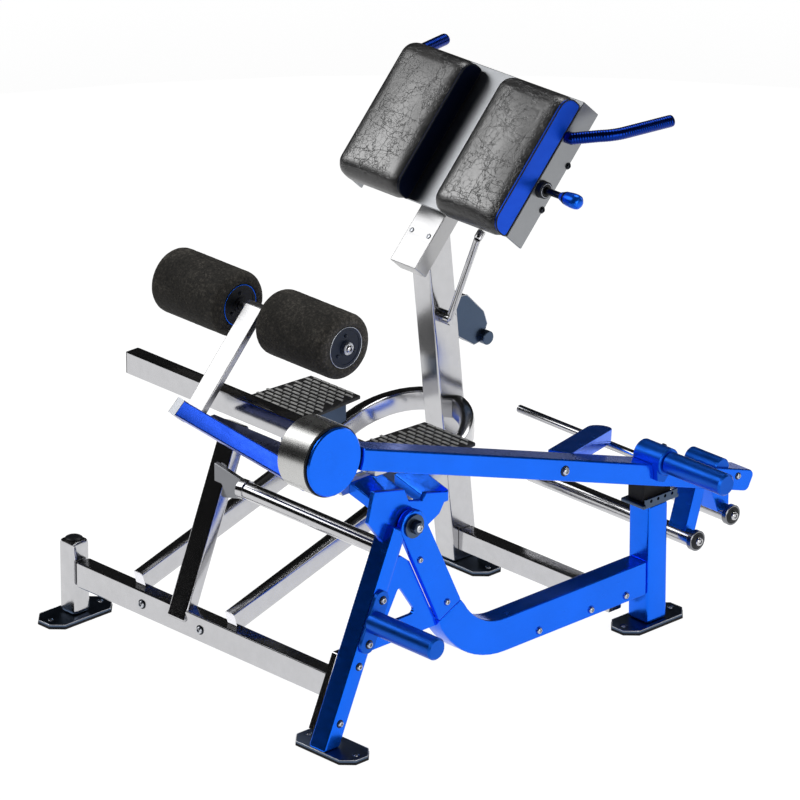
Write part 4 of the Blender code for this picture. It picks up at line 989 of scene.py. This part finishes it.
def dash_mesh():
    """One raised dash: a bar with a chamfered top, and narrower and lower at its ends."""
    length, _, height = TREAD_DASH
    mesh = bpy.data.meshes.new("dash")
    shape = bmesh.new()
    bmesh.ops.create_cube(shape, size=1.0, matrix=Matrix.Diagonal((*TREAD_DASH, 1.0)))
    top = [f for f in shape.faces if f.normal.z > 0.5]
    bmesh.ops.inset_region(shape, faces=top, thickness=DASH_CHAMFER, depth=0.0)
    ends = [v for v in shape.verts if abs(v.co.x) > length / 2 - DASH_TOLERANCE]
    for vertex in ends:
        vertex.co.y *= DASH_END_WIDTH
        if vertex.co.z > 0:
            vertex.co.z -= height * DASH_END_DROP
    shape.to_mesh(mesh)
    shape.free()
    return mesh


def dash_places(low, high):
    """(x, y) of the dashes: staggered rows on a plate that narrows towards its back."""
    middle = (low.x + high.x) / 2
    length = high.y - low.y
    side_margin, end_margin = TREAD_MARGIN
    rows = int((length - TREAD_ROWS_MARGIN) / TREAD_PITCH[1])
    places = []
    for row in range(rows + 1):
        y = low.y + end_margin + row * (length - 2 * end_margin) / rows
        taper = TREAD_TAPER * (y - low.y) / length
        half = (high.x - low.x - taper) / 2 - side_margin
        shift = 0.0 if row % 2 else TREAD_PITCH[0] / 2
        count = int(half / TREAD_PITCH[0]) + 1
        steps = [column * TREAD_PITCH[0] + shift for column in range(-count, count + 1)]
        places += [(middle + x, y) for x in steps if abs(x) <= half]
    return places


def build_tread_pattern(side):
    """Raised dashes all over a tread."""
    low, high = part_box(side + "_tread")
    dash = dash_mesh()
    dashes = []
    for x, y in dash_places(low, high):
        one = dash.copy()
        one.transform(Matrix.Translation((x, y, high.z + TREAD_DASH[2] / 2 - DASH_SINK)))
        dashes.append(one)
    # The dashes' pale finish is a painted highlight on their tops
    add_piece(side + "_tread_dashes", join("dashes", dashes), "tread_dash", "frame")


# Handles


def handle_route(sign):
    """Middle line of a handle, from the carrier's side out and back, as the CAD bends it."""
    low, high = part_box("right_handle")
    root = Vector((low.x, low.y + HANDLE_RADIUS, low.z + HANDLE_RADIUS + HANDLE_ROOT_LIFT))
    end = Vector((high.x - HANDLE_RADIUS, high.y - HANDLE_TIP, high.z - HANDLE_RADIUS))
    turn_in = (root - HANDLE_BEND).normalized() * HANDLE_BEND_REACH
    turn_out = (end - HANDLE_BEND).normalized() * HANDLE_BEND_REACH
    route = [root, root + LEVER_SIDE * HANDLE_ROOT]
    for step in range(13):
        t = step / 12
        route.append(HANDLE_BEND + turn_in * (1 - t) ** 2 + turn_out * t ** 2)
    route.append(end)
    return [Vector((sign * point.x, point.y, point.z)) for point in route]


def resampled(route, spacing):
    """(distance, point) at even steps along a route."""
    lengths = [0.0]
    for first, second in zip(route, route[1:]):
        lengths.append(lengths[-1] + (second - first).length)
    count = int(lengths[-1] / spacing)
    places = []
    for step in range(count + 1):
        at = lengths[-1] * step / count
        index = next(i for i in range(len(route) - 1) if at <= lengths[i + 1] + 1e-9)
        share = (at - lengths[index]) / (lengths[index + 1] - lengths[index])
        places.append((at, route[index].lerp(route[index + 1], share)))
    return places


def grip_radius(at, total):
    """A grip's radius at a distance along it, with its ribs and its rounded end."""
    into_end = max(0.0, GRIP_ROUND - (total - at))
    rounding = GRIP_ROUND - math.sqrt(max(0.0, GRIP_ROUND ** 2 - into_end ** 2))
    rib = RIB_HEIGHT * max(0.0, math.cos(2 * math.pi * at / RIB_PITCH)) ** RIB_SOFTNESS
    return HANDLE_RADIUS + GRIP_WALL + rib - rounding


def build_grip(side, sign):
    """A ribbed rubber grip over the whole handle."""
    places = resampled(handle_route(sign), RIB_PITCH / RINGS_TO_A_RIB)
    total = places[-1][0]
    frames = route_frames([point for _, point in places], False)
    rings = []
    for (at, point), across in zip(places, frames):
        rings.append(circle(point, *across, grip_radius(at, total), GRIP_SIDES))
    grip = add_piece(side + "_grip", skin(side + "_grip", rings), "grip", "pads")
    smooth_by_angle(grip, math.radians(50))
    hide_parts(side + "_handle")


# Feet, plates and caps


def cut_rectangle(half_x, half_y, corner):
    """A rectangle with its corners cut off, as eight (x, y) points."""
    points = []
    for a, b in ((1, 1), (-1, 1), (-1, -1), (1, -1)):
        cut = [(a * half_x, b * (half_y - corner)), (a * (half_x - corner), b * half_y)]
        points += cut if a == b else cut[::-1]
    return points


def foot_pad(node):
    """The rubber pad under a foot plate, a little wider than the plate, and the plate's two bolts."""
    low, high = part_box(node)
    middle = (low + high) / 2
    half = (high - low) / 2
    outline = cut_rectangle(half.x + FOOT_PAD_REACH, half.y + FOOT_PAD_REACH, FOOT_CORNER)
    rings = []
    for z, inset in FOOT_PAD_STEPS:
        drawn_in = [(x - math.copysign(inset, x), y - math.copysign(inset, y)) for x, y in outline]
        rings.append([(middle.x + x, middle.y + y, z) for x, y in drawn_in])
    add_piece(node + "_pad", skin(node, rings, smooth=False), "rubber", "frame")
    lengthwise = LEVER_SIDE if half.x > half.y else -FRONT
    for number in (-1, 1):
        place = Vector((middle.x, middle.y, high.z - FOOT_BOLT[1])) + lengthwise * (FOOT_BOLT_STEP * number)
        socket_bolt(f"{node}_bolt_{number + 1}", FOOT_BOLT, facing(place, UP), "satin", "frame")


def plate_edge_highlight(name, node, axis, face, radius):
    """A painted highlight round a plate: a fine bright bead along the outline of one of its faces."""
    points = np.array([v.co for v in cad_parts[node].data.vertices])
    points = points[np.abs(points[:, axis] - face) < EDGE_DEPTH]
    others = [i for i in range(3) if i != axis]
    flat = points[:, others]
    middle = (flat.max(0) + flat.min(0)) / 2
    route = []
    for angle in full_circle(96):
        reach = (flat - middle) @ np.array((math.cos(angle), math.sin(angle)))
        route.append(flat[int(reach.argmax())])
    corners = [p for p, q in zip(route, route[1:] + route[:1]) if np.abs(p - q).max() > EDGE_SHORTEST]
    places = []
    for corner in corners:
        place = Vector((0.0, 0.0, 0.0))
        place[axis] = face - radius * EDGE_SUNK
        for other, here, centre in zip(others, corner, middle):
            place[other] = here + math.copysign(radius * EDGE_INSET, centre - here)
        places.append(place)
    ring_tube(name, places, radius, "satin", "frame", 6)


def end_plug(name, node, body):
    """A moulded plug in the end of a square tube that lies along X, away from the lever's side."""
    low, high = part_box(node)
    middle = (low + high) / 2
    half = (high - low) / 2
    rings = []
    for inset, lift in PLUG_STEPS:
        half_y, half_z = half.y - inset, half.z - inset
        rings.append([(low.x - lift, middle.y + a * half_y, middle.z + b * half_z) for a, b in CORNERS])
    add_piece(name, skin(name, rings, smooth=False), "plastic", body)


def build_plugs():
    end_plug("cross_rail_plug", "cross_rail", "lever")
    top = middle_of("front_left_post")
    top.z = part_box("front_left_post")[1].z
    turned_piece("left_post_cap", POST_CAP, facing(top, UP), "plastic", "frame")


# Lever


def build_hub_seal():
    """Dark seal between the drum and its cover."""
    _, high_x, axis, radius = across_bar("hub_drum")
    seal = [
        (radius - 0.012, 0.0), (radius - 0.0012, 0.0), (radius - 0.0004, -0.0008),
        (radius - 0.0004, -0.0040), (radius - 0.012, -0.0042),
    ]
    turned_piece("drum_seal", seal, facing((high_x, *axis), LEVER_SIDE), "plastic", "lever", 72)


def build_web():
    """The dark wedge of plate on the slanted bar's inner side, which runs out towards the bar's end."""
    low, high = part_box("bar_web")
    inner = high.y - WEB_SLOT
    run = ROLLER_BAR_END - ROLLER_BAR_START
    start_y, end_y = [
        ROLLER_BAR_START.y + (x - ROLLER_BAR_START.x) * run.y / run.x + WEB_OVERLAP for x in (low.x, high.x)
    ]
    levels = [(low.z, WEB_EDGE), (low.z + WEB_EDGE, 0.0), (high.z - WEB_EDGE, 0.0), (high.z, WEB_EDGE)]
    rings = []
    for z, inset in levels:
        near, far = low.x + inset, high.x - inset
        outline = [(far, inner - inset), (near, inner - inset), (near, start_y), (far, end_y)]
        rings.append([(x, y, z) for x, y in outline])
    web = add_piece("web_plate", skin("web_plate", rings, smooth=False), "navy", "lever")
    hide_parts("bar_web")


def build_bar_cap():
    """The bevelled cap on the open end of the roller bar."""
    direction = (ROLLER_BAR_END - ROLLER_BAR_START).normalized()
    side = ROLLER_BAR_FACE.cross(direction).normalized()
    out = direction.cross(side).normalized()
    rings = []
    for lift, half_side, half_out in BAR_CAP:
        centre = ROLLER_BAR_START - direction * lift
        rings.append([centre + side * (a * half_side) + out * (b * half_out) for a, b in CORNERS])
    add_piece("roller_bar_cap", skin("roller_bar_cap", rings, smooth=False), "satin", "lever")


def build_bar_end(name):
    """The ring, cap and bolt on the lever-side end of a round bar."""
    _, high_x, axis, radius = across_bar(name)
    seat = facing((high_x, *axis), LEVER_SIDE)
    cap = [(radius * share, height) for share, height in BAR_END_CAP]
    band = [(radius * share, height) for share, height in BAR_END_BAND]
    turned_piece(name + "_ring", band, seat, "shaded_chrome", "lever")
    turned_piece(name + "_cap", cap, seat, "plastic", "lever")
    lifted = seat @ Matrix.Translation((0.0, 0.0, cap[0][1]))
    socket_bolt(name + "_bolt", BAR_END_BOLT, lifted, "chrome", "lever")


# The pull pin


def build_knob():
    """The pull pin's moulded knob with finger grooves, and the collar that it comes out of."""
    _, high_x, axis, radius = across_bar("adjust_pin")
    knob = [
        (0.0, 0.0560), (0.0070, 0.0558), (0.0110, 0.0546), (radius - 0.0010, 0.0500),
        (radius + 0.0003, 0.0430), (radius + 0.0003, 0.0330), (radius - 0.0012, 0.0180),
        (radius - 0.0036, 0.0080), (0.0110, 0.0030), (0.0098, -0.0006), (0.0078, -0.0010),
    ]
    knob_seat = facing((high_x - KNOB_LENGTH, *axis), LEVER_SIDE)
    turned_piece("knob_grip", knob, knob_seat, "knob", "pin", 40)
    seat = facing((CARRIER_SIDE, *axis), LEVER_SIDE)
    turned_piece("pin_collar_cover", COLLAR, seat, "plastic", "pads", 40)
    route = seat_circle(seat, COLLAR_RING, COLLAR_RING, 48)
    ring_tube("pin_collar_ring", route, COLLAR_RING_THICKNESS, "satin", "pads", 8)


# Bolts and screws, where the photograph shows them


def leg_point(z):
    """(y, z) on the middle line of the lever side's leg, which runs through the foot's middle."""
    low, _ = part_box("front_right_leg")
    return low.y + LEG_FRONT_TO_MIDDLE + (z - low.z) * math.tan(LEG_LEAN), z


def build_front_tube_bolts():
    front = middle_of("front_left_post").y - FRONT_TUBE_HALF
    for number, x in enumerate(FRONT_TUBE_BOLTS_X):
        place = (x, front, FRONT_TUBE_BOLTS_Z)
        fastener(f"front_tube_bolt_{number}", place, FRONT, FRONT_TUBE_BOLT, "frame", "satin", "black_steel")


def build_side_bolts():
    """Bolts in the outer faces of the leg, the side rail and the strut."""
    for name, (node, radius, ring, places) in SIDE_BOLTS.items():
        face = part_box(node)[1].x
        for number, place in enumerate(places):
            fastener(f"{name}_{number}", (face, *place), LEVER_SIDE, radius, "frame", "satin", ring)


def build_flange_bolts():
    """The two bolts of the storage horn's flange, above and below the horn along the leg."""
    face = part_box("front_right_leg")[1].x + FLANGE_THICKNESS
    y, z = leg_point(STORAGE_HORN_Z)
    for number, step in enumerate((-FLANGE_BOLT_STEP, FLANGE_BOLT_STEP)):
        place = (face, y + step * math.sin(LEG_LEAN), z + step * math.cos(LEG_LEAN))
        fastener(f"flange_bolt_{number}", place, LEVER_SIDE, FLANGE_BOLT, "frame", "satin", "black_steel")


def build_pivot_bolts():
    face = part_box("pivot_bracket")[1].x
    place = (face, *BRACKET_BOLT_YZ)
    fastener("bracket_bolt", place, LEVER_SIDE, BRACKET_BOLT, "frame", "satin", "gun")
    _, high_x, axis, _ = across_bar("yoke_bolt")
    socket_bolt("yoke_bolt_socket", YOKE_BOLT, facing((high_x, *axis), LEVER_SIDE), "satin", "frame")


def build_lever_bolts():
    place = Vector((HORN_SCREW_X, *HORN_AXIS_YZ)) + HORN_SCREW_OUT * HORN_SOCKET_RADIUS
    socket_bolt("horn_set_screw", HORN_SCREW, facing(place, HORN_SCREW_OUT), "gun", "lever")
    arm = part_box("lever_arm")[1].x
    for number, (y, z, radius) in enumerate(ARM_BOLTS):
        fastener(f"arm_bolt_{number}", (arm, y, z), LEVER_SIDE, radius, "lever", "satin", "black_steel")


def build_incline_screws():
    low, high = incline_box("incline_rail")
    for number, x in enumerate((-INCLINE_SCREW_X, INCLINE_SCREW_X)):
        place = INCLINE_TURN @ Vector((x, low.y + INCLINE_SCREW_UP, high.z))
        socket_bolt(f"incline_screw_{number}", INCLINE_SCREW, facing(place, INCLINE_OUT), "satin", "frame")


def build_carrier_bolts():
    for number, place in enumerate(CARRIER_BOLTS_YZ):
        name = f"carrier_bolt_{number}"
        fastener(name, (CARRIER_SIDE, *place), LEVER_SIDE, CARRIER_BOLT, "pads", "black_steel", "plastic")


# Stage


def seen_directly(tree):
    """1 for rays from the camera, off a mirror or through glass, and 0 for the rest."""
    path = tree.nodes.new("ShaderNodeLightPath")
    seen = combine(tree, "MAXIMUM", path.outputs["Is Camera Ray"], path.outputs["Is Glossy Ray"])
    return combine(tree, "MAXIMUM", seen, path.outputs["Is Transmission Ray"])


def floor_material():
    """A matte floor that also shows white to the camera and in reflections, and keeps shadows."""
    made = bpy.data.materials.new("pale_floor")
    made.use_nodes = True
    tree = made.node_tree
    tree.nodes.clear()
    matte = add_node(tree, "ShaderNodeBsdfDiffuse", {"Color": (*FLOOR_COLOUR, 1.0)}).outputs[0]
    dim = (*shade(FLOOR_COLOUR, FLOOR_LIT), 1.0)
    weak = add_node(tree, "ShaderNodeBsdfDiffuse", {"Color": dim}).outputs[0]
    place = {0: surface_place(tree)}
    reach = add_node(tree, "ShaderNodeVectorMath", place, operation="LENGTH").outputs["Value"]
    level = remap(tree, reach, GLOW_NEAR, GLOW_FAR, FLOOR_GLOW, 1.0)
    glow = add_node(tree, "ShaderNodeEmission", {"Color": WHITE, "Strength": level}).outputs[0]
    lit = add_node(tree, "ShaderNodeAddShader", {0: weak, 1: glow}).outputs[0]
    shown = add_node(tree, "ShaderNodeMixShader", {0: seen_directly(tree), 1: matte, 2: lit}).outputs[0]
    add_node(tree, "ShaderNodeOutputMaterial", {"Surface": shown})
    return made


def dark_cloth():
    """The black cloth of the walls and ceiling, which polished faces mirror."""
    made, _, sockets = start_material("dark_cloth", 0.0, Roughness=1.0)
    sockets["Base Color"].default_value = DARK
    return made


def add_stage(name, mesh, material, shown=True):
    made = put_in_scene(name, mesh)
    mesh.materials.append(material)
    made.visible_camera = shown


def level_square(name, half, height):
    corners = [(half * a, half * b, height) for a, b in CORNERS]
    return mesh_from(name, corners, [(0, 1, 2, 3)], False)


def softbox(name, direction, distance, width, height, radiance):
    """A rectangular lamp that faces the machine's middle, with its brightness as seen from there."""
    lamp = bpy.data.lights.new(name, "AREA")
    lamp.shape = "RECTANGLE"
    lamp.size = width
    lamp.size_y = height
    lamp.energy = radiance * math.pi * width * height
    made = put_in_scene(name, lamp)
    toward = Vector(direction).normalized()
    made.location = STAGE_MIDDLE + toward * distance
    made.rotation_mode = "QUATERNION"
    made.rotation_quaternion = toward.to_track_quat("Z", "Y")


def build_world():
    """A soft, slightly cool sky that shows plain white."""
    world = bpy.data.worlds.new("studio")
    bpy.context.scene.world = world
    world.use_nodes = True
    tree = world.node_tree
    tree.nodes.clear()
    soft = add_node(tree, "ShaderNodeBackground", {"Color": SKY}).outputs[0]
    white = add_node(tree, "ShaderNodeBackground", {"Color": WHITE}).outputs[0]
    shown = add_node(tree, "ShaderNodeMixShader", {0: seen_directly(tree), 1: soft, 2: white}).outputs[0]
    add_node(tree, "ShaderNodeOutputWorld", {"Surface": shown})


def build_stage():
    """The pale floor, the dark walls and ceiling out of the camera's sight, the lamps and the sky."""
    add_stage("floor", level_square("floor", FLOOR_SIZE, 0.0), floor_material())
    dark = dark_cloth()
    add_stage("dark_ceiling", level_square("dark_ceiling", CEILING_SIZE, CEILING_HEIGHT), dark, False)
    wall = lathe("dark_ring", [(WALL_RADIUS, 0.0), (WALL_RADIUS, CEILING_HEIGHT)], 64)
    wall.transform(Matrix.Translation(WALL_MIDDLE))
    add_stage("dark_ring", wall, dark, False)
    for name, lamp in LAMPS.items():
        softbox(name, *lamp)
    build_world()


def build_camera():
    """A long lens at the photograph's angle, placed so that the anchor falls on its pixel."""
    sin_a, cos_a = math.sin(AZIMUTH), math.cos(AZIMUTH)
    sin_e, cos_e = math.sin(ELEVATION), math.cos(ELEVATION)
    right = Vector((cos_a, sin_a, 0.0))
    up = Vector((-sin_a * sin_e, cos_a * sin_e, cos_e))
    back = Vector((sin_a * cos_e, -cos_a * cos_e, sin_e))
    per_pixel = CAMERA_DISTANCE * SENSOR / LENS / IMAGE_SIZE
    across = (ANCHOR_PIXEL[0] - IMAGE_SIZE / 2) * per_pixel
    rise = (IMAGE_SIZE / 2 - ANCHOR_PIXEL[1]) * per_pixel
    place = ANCHOR - right * across - up * rise + back * CAMERA_DISTANCE
    lens = bpy.data.cameras.new("camera")
    lens.lens = LENS
    lens.sensor_width = SENSOR
    lens.clip_end = 200.0
    camera = put_in_scene("camera", lens)
    turn = Matrix((right, up, back)).transposed().to_4x4()
    camera.matrix_world = Matrix.Translation(place) @ turn
    bpy.context.scene.camera = camera


bpy.context.scene.view_settings.view_transform = "Standard"
build_camera()
build_stage()
dress_nodes()
build_cushion("left", "left_pad", 1.0)
build_cushion("right", "right_pad", 2.0)
for side, sign in (("left", -1), ("right", 1)):
    build_foam(side)
    build_hub_faces(side)
    build_tread_pattern(side)
    build_grip(side, sign)
for foot in ("front_left_foot", "front_right_foot", "main_foot", "rear_right_foot"):
    foot_pad(foot)
    # A painted highlight bead along the foot plate's top edge
    plate_edge_highlight(foot + "_edge", foot, 2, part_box(foot)[1].z, FOOT_HIGHLIGHT_BEAD)
# A painted highlight bead along the rear bracket's outline
plate_edge_highlight("rear_bracket_edge_highlight", "rear_bracket", 0, REAR_BRACKET_FACE, REAR_BRACKET_HIGHLIGHT_BEAD)
build_axle_bolts()
build_hub_seal()
build_knob()
build_web()
build_bar_cap()
build_plugs()
build_front_tube_bolts()
build_side_bolts()
build_flange_bolts()
build_pivot_bolts()
build_lever_bolts()
build_incline_screws()
build_carrier_bolts()
for bar in ("lower_bar", "rear_bar"):
    build_bar_end(bar)
